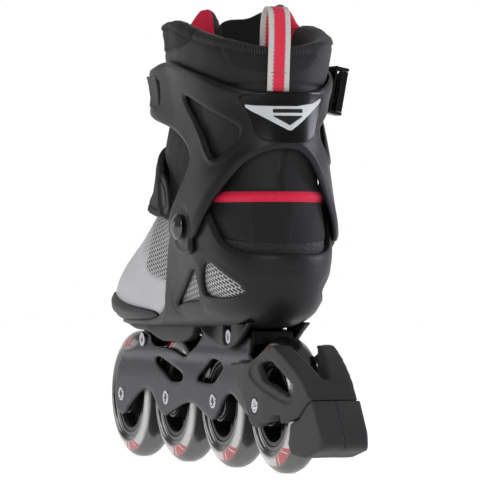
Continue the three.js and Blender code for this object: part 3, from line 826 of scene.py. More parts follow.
# ---- the last
@dataclass
class Last:
    """Surface of the soft boot, lofted through sections that fan from the toe to the shaft.

    Attributes:
        stations: for each section its back y and z, front y and z, half width, how far the
            widest place drops towards the back, and the squareness of its two corners.
    """

    stations: Array = field(default_factory=lambda: np.array([
        (-128, 112, -128, 112, 0, 1.0, 0.9, 1.0),
        (-124, 102, -123, 123, 18, 1.2, 0.8, 1.0),
        (-113, 99, -114, 134, 28, 1.4, 0.7, 1.0),
        (-92, 99, -98, 147, 36, 1.5, 0.6, 1.0),
        (-64, 99, -78, 158, 40.5, 1.6, 0.6, 1.0),
        (-32, 99, -58, 172, 40.5, 1.6, 0.6, 0.95),
        (0, 99, -42, 186, 37.5, 1.5, 0.65, 0.9),
        (40, 99, -28, 200, 36.5, 1.4, 0.7, 0.85),
        (80, 99, -18, 211, 38.5, 1.2, 0.75, 0.8),
        (112, 100, -11, 220, 41, 1.1, 0.8, 0.78),
        (134, 106, -5, 229, 43, 1.0, 0.85, 0.75),
        (144, 122, -2, 237, 43, 1.0, 0.9, 0.75),
        (145, 145, 1, 245, 42, 1.0, 0.95, 0.75),
        (141, 170, 3, 253, 40.5, 1.0, 1.0, 0.75),
        (135, 195, 4, 261, 39.5, 1.0, 1.0, 0.75),
        (131, 220, 4, 269, 40, 1.0, 1.0, 0.72),
        (129, 243, 3, 279, 42.5, 1.0, 0.95, 0.72),
        (129, 262, 1, 289, 46.5, 1.0, 0.9, 0.72),
        (128, 279, -2, 300, 48.5, 1.0, 0.85, 0.72),
        (127, 298, -6, 322, 49.5, 1.0, 0.85, 0.72)], float))

    def section(self, u: Array) -> list[Array]:
        """Station values between the stations, by a Catmull-Rom curve through them."""
        last = len(self.stations) - 1
        index = np.clip(np.floor(u).astype(int), 0, last - 1)
        t = (u - index)[..., None]
        near = (self.stations[np.clip(index + k, 0, last)] for k in (-1, 0, 1, 2))
        values = catmull_rom(*near, t)
        return [values[..., column] for column in range(self.stations.shape[1])]

    def locate(self, u: Array, v: Array) -> Array:
        """Point of the surface.

        Each section is a squared ellipse: v goes round it from the back (0) to the front (pi).
        The corner exponents blend across the sides, so that the two halves meet smoothly.

        Args:
            u: station number.
            v: angle round the section.

        Returns:
            Points in millimetres.
        """
        u, v = np.broadcast_arrays(np.asarray(u, float), np.asarray(v, float))
        back_y, back_z, front_y, front_z, half, drop, back, front = self.section(u)
        cosine, sine = np.cos(v), np.sin(v)
        corner = np.where(cosine > 0, back, front)
        rise = np.sign(cosine) * np.abs(cosine) ** corner
        side = np.sign(sine) * np.abs(sine) ** corner
        share = ((1 - rise) / 2) ** drop
        return np.stack([half * side, back_y + (front_y - back_y) * share,
                         back_z + (front_z - back_z) * share], -1)

    def lines(self, low: float, high: float, size: float) -> tuple[Array, Array]:
        """Grid lines about one size apart between two stations.

        Args:
            low: first station.
            high: last station.
            size: spacing in millimetres.

        Returns:
            Station numbers and angles.
        """
        u = np.linspace(low, high, 400)
        v = np.linspace(0, 2 * np.pi, 721)
        points = self.locate(u[:, None], v[None, :])
        along = np.linalg.norm(np.diff(points, axis=0), axis=2).max(axis=1)
        around = np.linalg.norm(np.diff(points, axis=1), axis=2).mean(axis=0)
        spaced = []
        for values, steps in ((u, along), (v, around)):
            length = running(steps)
            count = max(int(length[-1] / size), 4)
            spaced.append(np.interp(np.linspace(0, length[-1], count + 1), length, values))
        return spaced[0], spaced[1][:-1]

    def sheet(self, region: Callable[[Array], Array], inner: Any, outer: Any, low: float = 0.02,
              high: float = 18.98, size: float = 1.5, lip: float = 0.6,
              base: float = 0.0, lift: Callable[[Array], Array] | None = None) -> Sheet:
        """Wall over part of the last.

        Args:
            region: signed distance to its outline.
            inner: distance of its inner face, a number or a function of place and edge.
            outer: distance of its outer face, given in the same way.
            low: station where its grid starts.
            high: station where its grid ends.
            size: grid spacing in millimetres.
            lip: how far the round edge stands out.
            base: distance of the surface that the outline is cut in.
            lift: optional extra distance of the whole wall at points of the last.

        Returns:
            The sheet, ready to build.
        """
        first, second = self.lines(low, high, size)

        def moved(u: Array, v: Array) -> Array:
            """The surface that the outline is cut in."""
            if lift is not None:
                return self.lifted(u, v, base + lift(self.locate(u, v)))
            return self.lifted(u, v, base) if base else self.locate(u, v)

        return Sheet(moved, first, second, True, region, wall_face(inner, base),
                     wall_face(outer, base), lip, side=self.facing())

    def facing(self) -> float:
        """Sign that turns the grid's normal outwards, from one point on the inner side."""
        across = np.cross(*tangents(self.locate, np.array(8.0), np.array(np.pi / 2)))
        return float(np.sign(across[0]))

    def lifted(self, u: Array, v: Array, distance: Array | float) -> Array:
        """Points at a distance outside the surface."""
        normal = unit(np.cross(*tangents(self.locate, u, v))) * self.facing()
        return self.locate(u, v) + normal * np.reshape(distance, (-1, 1))


LAST = Last()
ANKLE_LINE = ((-70, 176), (150, 151))
PIVOT = (77.0, 162.0)  # y and z of the cuff's hinge


# ---- finishes
@dataclass(frozen=True)
class Moulded:
    """Moulded plastic or rubber with a fine grain.

    Attributes:
        name: name of the finish.
        colour: base colour.
        rough: mean roughness.
        grain_mm: size of the grain.
        depth_mm: depth of the grain.
        coat: strength of a clear coat.
        creased: whether dark marks are painted on the piece, as distances in millimetres: printed
            marks, or painted shade along a crease.
    """

    name: str
    colour: Colour
    rough: float = 0.5
    grain_mm: float = 0.35
    depth_mm: float = 0.03
    coat: float = 0.0
    creased: bool = False

    def material(self) -> Any:
        """Builds the material: tint and gloss drift slowly, and a grain sets the relief."""
        shader = Shader(self.name)
        drift = shader.noise(28.0, 4.0)
        speck = shader.noise(1.2, 2.0)
        tint = shader.mix(drift.step(0.35, 0.75) * 0.55 + speck * 0.25, self.colour,
                          lighter(self.colour, 1.5, 0.002))
        grain = shader.noise(self.grain_mm, 2.0)
        rough = (drift - 0.5) * 0.16 + (speck - 0.5) * 0.1 + self.rough
        normal = shader.bump(grain, self.depth_mm, 0.6)
        if self.creased:
            # dark marks from the painted distances: print on the badge, painted shade in the brake
            # pad's crease
            crease = shader.painted("crease").magnitude().step(0.55, 0.15)
            tint = shader.mix(crease * 0.98, tint, (0.0015, 0.0015, 0.0015))
            normal = shader.bump(1.0 - crease, 0.5, 0.8, normal)
        return shader.set(Base_Color=tint, Roughness=rough, Coat_Weight=self.coat,
                          Coat_Roughness=0.12, Specular_IOR_Level=0.24, Normal=normal)


@dataclass(frozen=True)
class Metal:
    """Metal with fine lines along one axis.

    Attributes:
        name: name of the finish.
        colour: base colour.
        rough: mean roughness.
        stretch: how much longer the lines are than wide, along X, Y and Z.
    """

    name: str
    colour: Colour
    rough: float = 0.35
    stretch: Colour = (1.0, 0.04, 1.0)
    metallic: float = 1.0

    def material(self) -> Any:
        """Builds the material: stretched noise gives lines, and slow noise gives wear."""
        shader = Shader(self.name)
        lines = shader.streaks(0.5, self.stretch)
        wear = shader.noise(16.0, 5.0)
        tint = shader.mix(lines * 0.4 + wear.step(0.5, 0.8) * 0.3, self.colour,
                          lighter(self.colour, 1.5, 0.02))
        rough = (lines - 0.5) * 0.16 + (wear - 0.5) * 0.18 + self.rough
        return shader.set(Base_Color=tint, Metallic=self.metallic, Roughness=rough,
                          Normal=shader.bump(lines, 0.01, 0.4))


@dataclass(frozen=True)
class Paper:
    """White studio paper that glows a little, so that only contact shadows show on it."""

    name: str = "white_paper"
    glow: float = 0.74

    def material(self) -> Any:
        """Builds the material from one slow noise."""
        shader = Shader(self.name)
        slow = shader.noise(60.0, 2.0)
        tint = shader.mix(slow, (0.76, 0.76, 0.76), (0.80, 0.80, 0.80))
        return shader.set(Base_Color=tint, Roughness=(slow - 0.5) * 0.1 + 0.85,
                          Specular_IOR_Level=0.1, Emission_Color=(1.0, 1.0, 1.0),
                          Emission_Strength=self.glow)


SHELL_PLASTIC = Moulded("charcoal_shell_plastic", (0.0070, 0.0070, 0.0080), 0.44, 0.45, 0.035)
CUFF_PLASTIC = Moulded("charcoal_cuff_plastic", (0.0060, 0.0060, 0.0072), 0.42, 0.45, 0.035)
GLOSS_PLASTIC = Moulded("gloss_black_plastic", (0.0012, 0.0012, 0.0016), 0.24, 6.0, 0.01, 0.12)
BADGE_PAINT = Moulded("silver_badge_paint", (0.44, 0.45, 0.46), 0.34, 0.3, 0.006,
                      creased=True)
BRAKE_PLASTIC = Moulded("dark_grey_brake_plastic", (0.027, 0.027, 0.028), 0.55, 0.5, 0.05)
# creased: the brake pad's middle crease is darkened with painted shade
BRAKE_RUBBER = Moulded("dark_grey_rubber", (0.028, 0.028, 0.029), 0.62, 0.7, 0.06,
                       creased=True)
BUMPER_RUBBER = Moulded("toe_bumper_rubber", (0.011, 0.011, 0.014), 0.5, 0.6, 0.04)
BRIGHT_STEEL = Metal("bright_steel", (0.46, 0.47, 0.49), 0.28, (1.0, 1.0, 1.0))
DARK_STEEL = Metal("dark_polished_rivet", (0.085, 0.085, 0.09), 0.3, (1.0, 1.0, 1.0))


# ---- hard boot
@dataclass
class LowerShell:
    """Lower shell: a wall round the heel and the foot with two vents on each side."""

    wall: tuple[float, float] = (0.7, 5.0)
    side: Outline = Outline([
        (-400, 60), (400, 60), (400, 144), (150, 144), (139, 145), (131, 147), (123, 150.5),
        (117, 156), (111, 164), (106, 171), (99, 177), (88, 180), (66, 180), (54, 175), (42, 165),
        (26, 152), (20, 133), (15, 118), (10, 109), (0, 104.6), (-14, 100.6), (-40, 98),
        (-400, 98)], rounding=2)
    vents: tuple[Outline, ...] = (
        Outline([(31, 109), (46, 112.6), (70, 113), (78, 115.5), (81.5, 131), (79.5, 134.5),
                 (73, 132), (54, 121)]),
        Outline([(89, 115.8), (116, 114.5), (130, 118), (132.5, 121.5), (109, 137), (101.5, 138.5),
                 (95, 135), (87, 121)]))

    def region(self, points: Array) -> Array:
        """Distance to the shell's outline, with its vents taken out."""
        value = self.side.distance(points)
        for vent in self.vents:
            value = np.maximum(value, -vent.distance(points))
        return value + 1.2

    def face(self, points: Array, cut: Array) -> Array:
        """Distance of the outer face: a thick lip round each vent, a crease and heel steps."""
        y, z = points[:, 1], points[:, 2]
        crease_z = 110.5 + 3.0 * np.sin((y - 60) / 26.0)
        crease = bell(z - crease_z, 2.2) * smooth(62, 82, y) * smooth(126, 104, y)
        heel = smooth(118, 140, y)
        steps = 1.1 * np.sin((z - 96) / 6.4) * heel * smooth(138, 122, z)
        edge = smooth(0.0, -2.0, cut)
        hollow = sum(bell(vent.distance(points) - 5.0, 3.0) for vent in self.vents)
        heel_line = bell(z - 134, 1.2) * heel
        relief = edge - 1.3 * crease + 0.6 * steps - 0.5 * hollow - 0.25 * heel_line
        return self.wall[1] - 1.0 + relief

    def underside(self) -> list[Any]:
        """Rounded blocks under the sole: front mount, ribs and the cheeks of the rear mount."""
        rib = [(-84, 98), (-80, 92), (-66, 89), (-56, 86.5), (-42, 84), (-8, 84), (7, 86),
               (17, 89.5), (22, 96), (30, 98.5)]
        cheek = [(30, 99), (36, 93), (43, 88), (56, 84), (74, 81), (88, 81), (104, 86), (126, 99),
                 (92.5, 99), (91, 87), (88, 84.5), (81, 84.5), (78.5, 87), (78, 99)]
        nose = [(-127, 100), (-119, 94.5), (-106, 91.8), (-96, 91), (-80, 91), (-70, 91.5),
                (-60, 100)]
        lug = [(-103, 96), (-101.5, 79.6), (-80.5, 79.6), (-79, 96)]
        blocks = [prism("nose", nose, 0, -19.5, 19.5, 2.4), prism("lug", lug, 0, -12.7, 12.7, 0.8)]
        for side in (1, -1):
            for outline, low, high in ((rib, 13.8, 21.0), (cheek, 17.7, 22.0)):
                ends = sorted((side * low, side * high))
                blocks.append(prism("side_block", outline, 0, *ends, 1.5))
        return blocks

    def build(self) -> None:
        """Builds the wall and what stands under it as one piece."""
        sheet = LAST.sheet(self.region, self.wall[0], self.face, 0.3, 14.5, 1.35, 0.55, 3.5)
        item = merged("lower_shell", [sheet.build("wall"), *self.underside()])
        hand_over(item, SHELL_PLASTIC.material(), Body.ROOT, ["shell"])


@dataclass
class Cuff:
    """Cuff that tilts on two pivots, with an arch at the heel and a window on each side."""

    wall: tuple[float, float] = (5.6, 9.0)
    side: Outline = Outline([
        (2, 237.5), (10, 235.5), (25, 233), (47, 228), (64, 223), (79, 215), (84, 207), (80, 198),
        (71, 188), (62, 179), (52, 171), (46, 163), (48, 156), (54, 149.5), (62, 145),
        (72, 142.8), (82, 142.8), (92, 145.5), (100, 150), (105, 153), (400, 153),
        (400, 247.5), (145, 247.5), (135, 249.5), (121, 255), (104, 262), (81, 268.5), (66, 272),
        (45, 273), (26, 269.5), (8, 268.5), (2, 267)])
    notch: Outline = Outline([(-100, 243), (30, 243), (34, 264.6), (-100, 264.6)], rounding=1)
    arch: Outline = Outline([
        (60, 130), (50, 145), (48, 155), (46, 167), (42, 179), (37, 188), (30, 199), (23, 206),
        (13, 211), (2, 213), (-10, 211), (-19, 203), (-26, 191), (-32, 178), (-38, 165),
        (-43, 153), (-50, 143), (-60, 130)], Plane.REAR)
    window: Outline = Outline([(73, 249), (84, 247.5), (123, 229), (125, 222), (120, 214),
                               (112, 206.5), (106.5, 209), (95, 228)])

    def arch_distance(self, points: Array) -> Array:
        """Distance to the heel arch, which only cuts the back half."""
        return np.maximum(self.arch.distance(points), 92 - points[:, 1])

    def region(self, points: Array) -> Array:
        """Distance to the cuff's outline, with its arch and windows taken out."""
        value = np.maximum(self.side.distance(points), -self.arch_distance(points))
        value = np.maximum(value, -np.maximum(self.notch.distance(points), -points[:, 0]))
        return np.maximum(value, -self.window.distance(points)) + 1.1

    @staticmethod
    def flap(points: Array) -> Array:
        """How far the inner flap stands off the boot at its front end."""
        x, y, z = points[..., 0], points[..., 1], points[..., 2]
        return 11.0 * smooth(56, 12, y) * smooth(218, 240, z) * (x > 0)

    def face(self, points: Array, cut: Array) -> Array:
        """Distance of the outer face: ridges along the window, a belly and a raised top lip."""
        y, z = points[:, 1], points[:, 2]
        outer = self.wall[1]
        window = self.window.distance(points)
        ridge = bell(window - 2.6, 1.9) * smooth(232, 206, z + 0.25 * (y - 95))
        arch = bell(self.arch_distance(points) - 3.4, 3.0)
        brow = bell(z - 256.5 + 0.10 * (y - 60), 5.0) * smooth(70, 100, y)
        hub = bell(np.hypot(y - PIVOT[0], z - PIVOT[1]) - 12.5, 3.0)
        edge = smooth(0.0, -2.2, cut)
        return outer - 1.0 + edge + 1.3 * ridge + 0.7 * arch + 0.7 * brow - 0.9 * hub

    def build(self) -> None:
        """Builds the cuff wall, its gloss panel and its plain chevron."""
        sheet = LAST.sheet(self.region, self.wall[0], self.face, 9.0, 18.9, 1.25, 0.55, 7.5,
                           self.flap)
        item = sheet.build("cuff_wall")
        hand_over(item, CUFF_PLASTIC.material(), Body.CUFF, ["cuff"])

        panel = Outline([(33, 247.5), (24, 234), (19, 216.3), (-20, 216.3), (-25, 234),
                         (-34, 249.5), (-18, 250), (18, 249)], Plane.REAR, 2)
        chevron = Outline([(31, 242), (19, 240.2), (-15, 240.4), (-32, 248.6), (-3, 225.3),
                           (0.5, 225.3)], Plane.REAR, 1)
        triangle = Outline([(9.8, 234.2), (-10.2, 234.2), (-1, 228.4)], Plane.REAR, 0)
        bar = Outline([(10, 238.6), (10, 236.6), (-10.5, 236.8), (-10.5, 238.8)], Plane.REAR, 0)
        for name, outline, low, high, finish, slot, node in (
                ("cuff_gloss_panel", panel, 8.6, 10.0, GLOSS_PLASTIC, "gloss_panel",
                 "cuff_rear_panel"),
                ("cuff_chevron", chevron, 9.9, 11.1, BADGE_PAINT, "badge", "cuff_badge")):
            def region(points: Array, outline: Outline = outline) -> Array:
                """Distance to the panel's outline at the back of the cuff."""
                return np.maximum(outline.distance(points), 70 - points[:, 1])

            item = LAST.sheet(region, low, high, 12.0, 18.5, 0.9, 0.8, high).build(name)
            places = skate_points(item)
            marks = np.minimum(triangle.distance(places), bar.distance(places))
            paint(item, "crease", np.clip(marks, 0, 3))
            hand_over(item, finish.material(), Body.CUFF, [node])


# ---- soft boot
@dataclass(frozen=True)
class SpacerMesh:
    """Dark spacer mesh of the liner, with smooth panels, seams and one red piping.

    Attributes:
        name: name of the finish.
        cell_mm: spacing of the mesh.
    """

    name: str
    cell_mm: float = 2.1

    def material(self) -> Any:
        """Builds the cloth: painted masks choose mesh, smooth panel, piping, red or seam."""
        shader = Shader(self.name)
        along, around = shader.along()
        step = 2 * np.pi / (self.cell_mm * MM)
        rows = (along * (step * 1.2)).sin() * (around * step + (along * step * 0.6)).sin()
        mesh = rows.step(-0.3, 0.7)
        fibre = shader.noise(0.25, 2.0)
        smooth_panel, piping, red = (shader.painted(name).step(0.46, 0.54)
                                     for name in ("panel", "piping", "red"))
        seam = shader.painted("seam").step(0.75, 0.25)
        dashes = (around * (1000 / 3.2)).fract().step(0.45, 0.52)
        stitch = shader.painted("stitch").step(0.42, 0.22) * dashes
        slow = shader.noise(22.0, 3.0)
        base = shader.mix(mesh * 0.7 + fibre * 0.2, (0.0018, 0.0018, 0.0022),
                          (0.019, 0.019, 0.022))
        panel = shader.mix(slow * 0.5 + fibre * 0.3, (0.0032, 0.0032, 0.0036),
                           (0.0080, 0.0080, 0.0088))
        tint = shader.mix(smooth_panel, base, panel)
        ribs = (around * (2 * np.pi / 0.0015)).sin().step(-0.4, 0.6)
        tint = shader.mix(piping, tint, shader.mix(ribs, (0.0015, 0.0015, 0.0015),
                                                   (0.028, 0.028, 0.030)))
        tint = shader.mix(red, tint, shader.mix(fibre, (0.50, 0.004, 0.030), (0.72, 0.014, 0.062)))
        tint = shader.mix(stitch, tint, (0.10, 0.004, 0.008))
        tint = shader.mix(seam, tint, (0.003, 0.003, 0.003))
        quiet = 1.0 - smooth_panel.math("MAXIMUM", red)
        height = (mesh * quiet * (1.0 - piping) * 0.75 + ribs * piping * 0.8 + fibre * 0.22
                  - seam * 0.8 - stitch * 0.6)
        rough = (fibre - 0.5) * 0.2 + mesh * 0.1 - smooth_panel * 0.22 + 0.78
        return shader.set(Base_Color=tint, Roughness=rough, Sheen_Weight=0.05,
                          Specular_IOR_Level=0.3, Normal=shader.bump(height, 0.45, 0.8))


@dataclass(frozen=True)
class Knit:
    """Light grey knit with dark slanted slits where it is painted as open."""

    name: str = "light_grey_knit"
    slit_mm: tuple[float, float] = (2.5, 6.0)

    def material(self) -> Any:
        """Builds the cloth: brick cells slanted on the surface give the slits."""
        shader = Shader(self.name)
        _, y, z = shader.parts(shader.place())
        open_knit = shader.painted("open")
        fine = shader.noise(0.35, 3.0)
        slow = shader.noise(20.0, 3.0)
        across = z * (1000 / self.slit_mm[0]) + y * 235.0
        row = across.math("FLOOR")
        part = across.fract()
        shift = row.math("MODULO", 2.0) * 0.5
        line = (y * (1000 / self.slit_mm[1]) - z * 120.0 + shift).fract()
        in_row = (part - 0.5).magnitude().step(0.38, 0.26)
        in_line = (line - 0.5).magnitude().step(0.42, 0.34)
        slit = in_row * in_line * open_knit
        rib = (across * (4 * np.pi)).sin() * 0.5 + 0.5
        yarn = shader.mix(fine * 0.6 + slow * 0.4, (0.40, 0.40, 0.415), (0.60, 0.60, 0.62))
        shade = shader.mix(shader.painted("low").step(0.46, 0.54), yarn, (0.006, 0.006, 0.0065))
        tint = shader.mix(slit, shade, (0.008, 0.008, 0.009))
        height = rib * open_knit * 0.35 + fine * 0.3 - slit + 0.4
        return shader.set(Base_Color=tint, Roughness=(fine - 0.5) * 0.2 + 0.86, Sheen_Weight=0.2,
                          Normal=shader.bump(height, 0.5, 0.8))


@dataclass(frozen=True)
class Woven:
    """Woven webbing or cord with raised threads."""

    name: str
    colour: Colour
    thread_mm: float = 0.8
    rough: float = 0.75

    def material(self) -> Any:
        """Builds the weave from two crossing rows of threads."""
        shader = Shader(self.name)
        x, y, z = shader.parts(shader.place())
        step = 2 * np.pi / (self.thread_mm * MM)
        weave = (z * step).sin() * ((x + y) * step).sin() * 0.5 + 0.5
        fine = shader.noise(0.3, 2.0)
        tint = shader.mix(weave * 0.6 + fine * 0.3, self.colour, lighter(self.colour, 1.7, 0.006))
        return shader.set(Base_Color=tint, Roughness=(fine - 0.5) * 0.2 + self.rough,
                          Sheen_Weight=0.15, Normal=shader.bump(weave + fine * 0.4, 0.25, 0.7))


def plan_angle(points: Array) -> Array:
    """Angle of places round the ankle in degrees: 0 at the front, positive on the inner side."""
    return np.degrees(np.arctan2(points[..., 0], 60.0 - points[..., 1]))


@dataclass
class Liner:
    """Padded liner of the shaft, from the ankle line to its rolled collar."""

    wall: float = -4.5
    roll: float = 5.5
    band_z: float = 181.5
    collar_z: float = 250.0
    top: Points = (
        (-180, 279), (-165, 281), (-150, 285), (-126, 290), (-105, 295), (-90, 297.5),
        (-80, 298), (-73, 297), (-69, 297.5), (-66, 301), (-62, 306.5), (-56, 311.5),
        (-49, 314), (-41, 311), (-36, 300),
        (-35.2, 262), (-3.2, 262), (-2.4, 298), (-0.8, 306.5), (1.5, 311), (5, 312.5),
        (9, 308), (13, 302.5), (18, 299.5), (25, 299), (32, 299), (45, 300), (65, 301),
        (90, 300), (105, 297.5), (120, 293.5), (135, 289), (150, 284.5), (165, 280.5), (180, 279))
    panels: tuple[Points, ...] = (
        ((14, 286), (24, 283), (40, 281), (70, 280.5), (105, 281), (121, 284), (128, 291),
         (130, 330), (14, 330)),
        ((146, 330), (146, 284), (148, 274), (153, 268), (161, 264.5), (172, 263), (187, 263.5),
         (196, 267), (202, 274), (204.5, 283), (204, 330)),
        ((250, 330), (250, 290), (258, 284), (275, 281), (318, 281), (318, 330)))

    def top_at(self, points: Array) -> Array:
        """Height of the collar's top over a place."""
        angles, heights = zip(*self.top)
        return np.interp(plan_angle(points), angles, heights)

    def region(self, points: Array) -> Array:
        """Distance to the liner's area: above the ankle line and under its top."""
        top = points[..., 2] - self.top_at(points) + self.roll * 0.75
        return np.maximum(top * 0.8, -below(ANKLE_LINE, points))

    def panel_masks(self, points: Array) -> tuple[Array, Array, Array]:
        """How much a place lies in the collar's mesh panels or on a seam, and its distance."""
        turn = plan_angle(points) % 360
        flat = np.stack([turn * 0.78, turn * 0.78, points[:, 2]], -1)
        mesh, seam = np.zeros(len(points)), np.zeros(len(points))
        nearest = np.full(len(points), 9.0)
        for corners in self.panels:
            outline = Outline([(angle * 0.78, height) for angle, height in corners])
            distance = outline.distance(flat)
            mesh = np.maximum(mesh, smooth(0.4, -0.4, distance))
            seam = np.maximum(seam, bell(distance, 0.9))
            nearest = np.minimum(nearest, distance)
        return mesh, seam, nearest

    def thickness(self, points: Array) -> Array:
        """Distance of the outer face before its seams."""
        z = points[:, 2]
        heel = smooth(100, 125, points[:, 1]) * smooth(215, 200, z)
        belly = 4.6 * smooth(192, 214, z) + 0.5 * smooth(262, 285, z)
        turn = plan_angle(points)
        slim = 4.2 * smooth(272, 290, z) * smooth(-14, -3, turn) * smooth(110, 70, turn)
        return -0.4 + belly - slim + 1.2 * heel * bell(z - 165, 30) - self.lean(points)

    @staticmethod
    def lean(points: Array) -> Array:
        """How far the outer wing of the collar leans inwards."""
        turn = plan_angle(points)
        wing = smooth(-44, -54, turn) * smooth(-80, -70, turn)
        return 7.0 * smooth(288, 303, points[:, 2]) * wing

    def face(self, points: Array, cut: Array) -> Array:
        """Distance of the outer face, with seams, the roll of the collar and the heel piping."""
        x, y, z = points.T
        mesh, seam, _ = self.panel_masks(points)
        turn = plan_angle(points)
        top = self.top_at(points) - z
        collar = smooth(262, 272, z)
        roll = (0.7 * bell(top - 3.6, 1.6) - 0.9 * smooth(2.5, 0.0, top)) * collar
        groove = -1.0 * bell(top - 5.7, 0.8) * collar
        low_seam = -1.0 * bell(z - 252 - 0.05 * (y - 60), 1.3)
        heel_seam = -0.9 * bell(x - 4 * smooth(215, 190, z), 0.9) * smooth(90, 110, y)
        heel_seam = heel_seam * smooth(222, 214, z) * smooth(186, 190, z)
        pipe = 2.4 * bell(z - self.band_z, 3.0) * smooth(72, 100, y)
        puff = 0.7 * mesh * collar
        folds = 0.5 * np.sin(turn / 7.0 + z / 9.0) * collar + 0.3 * np.sin(turn / 3.1 - z / 5.0)
        return (self.thickness(points) + roll + groove + low_seam + heel_seam + pipe + puff
                - 0.8 * seam * collar + folds * 0.4)

    def back_face(self, points: Array, cut: Array) -> Array:
        """Distance of the inner face, thicker at the collar."""
        z = points[:, 2]
        pad = -4.4 * smooth(238, 268, z)
        top = self.top_at(points) - z
        lean = 0.6 * self.lean(points)
        return self.wall + pad - lean + 2.2 * smooth(8.0, 2.0, top) * smooth(262, 272, z)

    def build(self) -> None:
        """Builds the liner and paints its panels."""
        sheet = LAST.sheet(self.region, self.back_face, self.face, 4.0, 18.97, 1.3, 0.75)
        item = sheet.build("liner_and_collar")
        places = skate_points(item)
        inside = attribute(item, "face") < 0.35
        x, y, z = places.T
        turn, top = plan_angle(places), self.top_at(places) - z
        mesh = self.panel_masks(places)[2]
        in_collar = z > self.collar_z
        band = np.abs(z - self.band_z) - 3.4
        heel = np.where(z < 181, 22 - x, 3 - x)
        under = z - self.collar_z
        side = np.maximum(np.where(y > 92, -heel, 88 - y), under)
        cloth = np.minimum(np.maximum(mesh, 255 - z), np.minimum(side, np.maximum(y - 88, under)))
        piping = np.maximum(top - 5.4, 14 - y)
        under_rim = np.where((turn > 0) | (turn < -52), -9.0, 1.8) - top
        across = np.minimum(np.abs(turn - 20) - 18.2, np.abs(turn + 56) - 18.0)
        wing = np.maximum(np.maximum(280 - z, under_rim), across)
        rim = attribute(item, "face") < np.where(np.abs(turn + 16) < 58, 0.97, 0.35)
        red = np.where(rim & in_collar, wing, np.where(inside, 3.0, np.maximum(band, 70 - y)))
        line = np.where(in_collar, np.abs(mesh), np.abs(x - np.where(z > 181, 3.5, 22)))
        line = np.where((in_collar | (y > 92)) & (band > 0), line, 3.0)
        stitch = np.where((np.abs(z - self.band_z) < 5) & (y > 70), np.abs(z - 179.4), 3.0)
        paint(item, "panel", np.where(inside, 1.0, mask(-cloth)))
        paint(item, "piping", np.where(inside & (top > 5), 0.0, mask(piping)))
        paint(item, "red", mask(red))
        paint(item, "seam", np.where(inside, 3.0, np.clip(line, 0, 3)))
        paint(item, "stitch", np.where(inside, 3.0, np.clip(stitch, 0, 3)))
        dress(item, SpacerMesh("dark_liner_cloth").material())
        hinge = placed(np.array([[0, PIVOT[0], 150], [0, PIVOT[0], 200]]))
        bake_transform(item)
        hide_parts("ankle_gusset", "shaft_liner", "collar")
        log.info("%s bends at the ankle", item.name)


def plain(item: Any, panel: Array, seam: Array) -> None:
    """Paints a piece of liner cloth that has no piping and no red."""
    paint(item, "panel", panel)
    paint(item, "seam", seam)
    for name, value in (("piping", 0.0), ("red", 0.0), ("stitch", 3.0)):
        paint(item, name, np.full(len(panel), value))


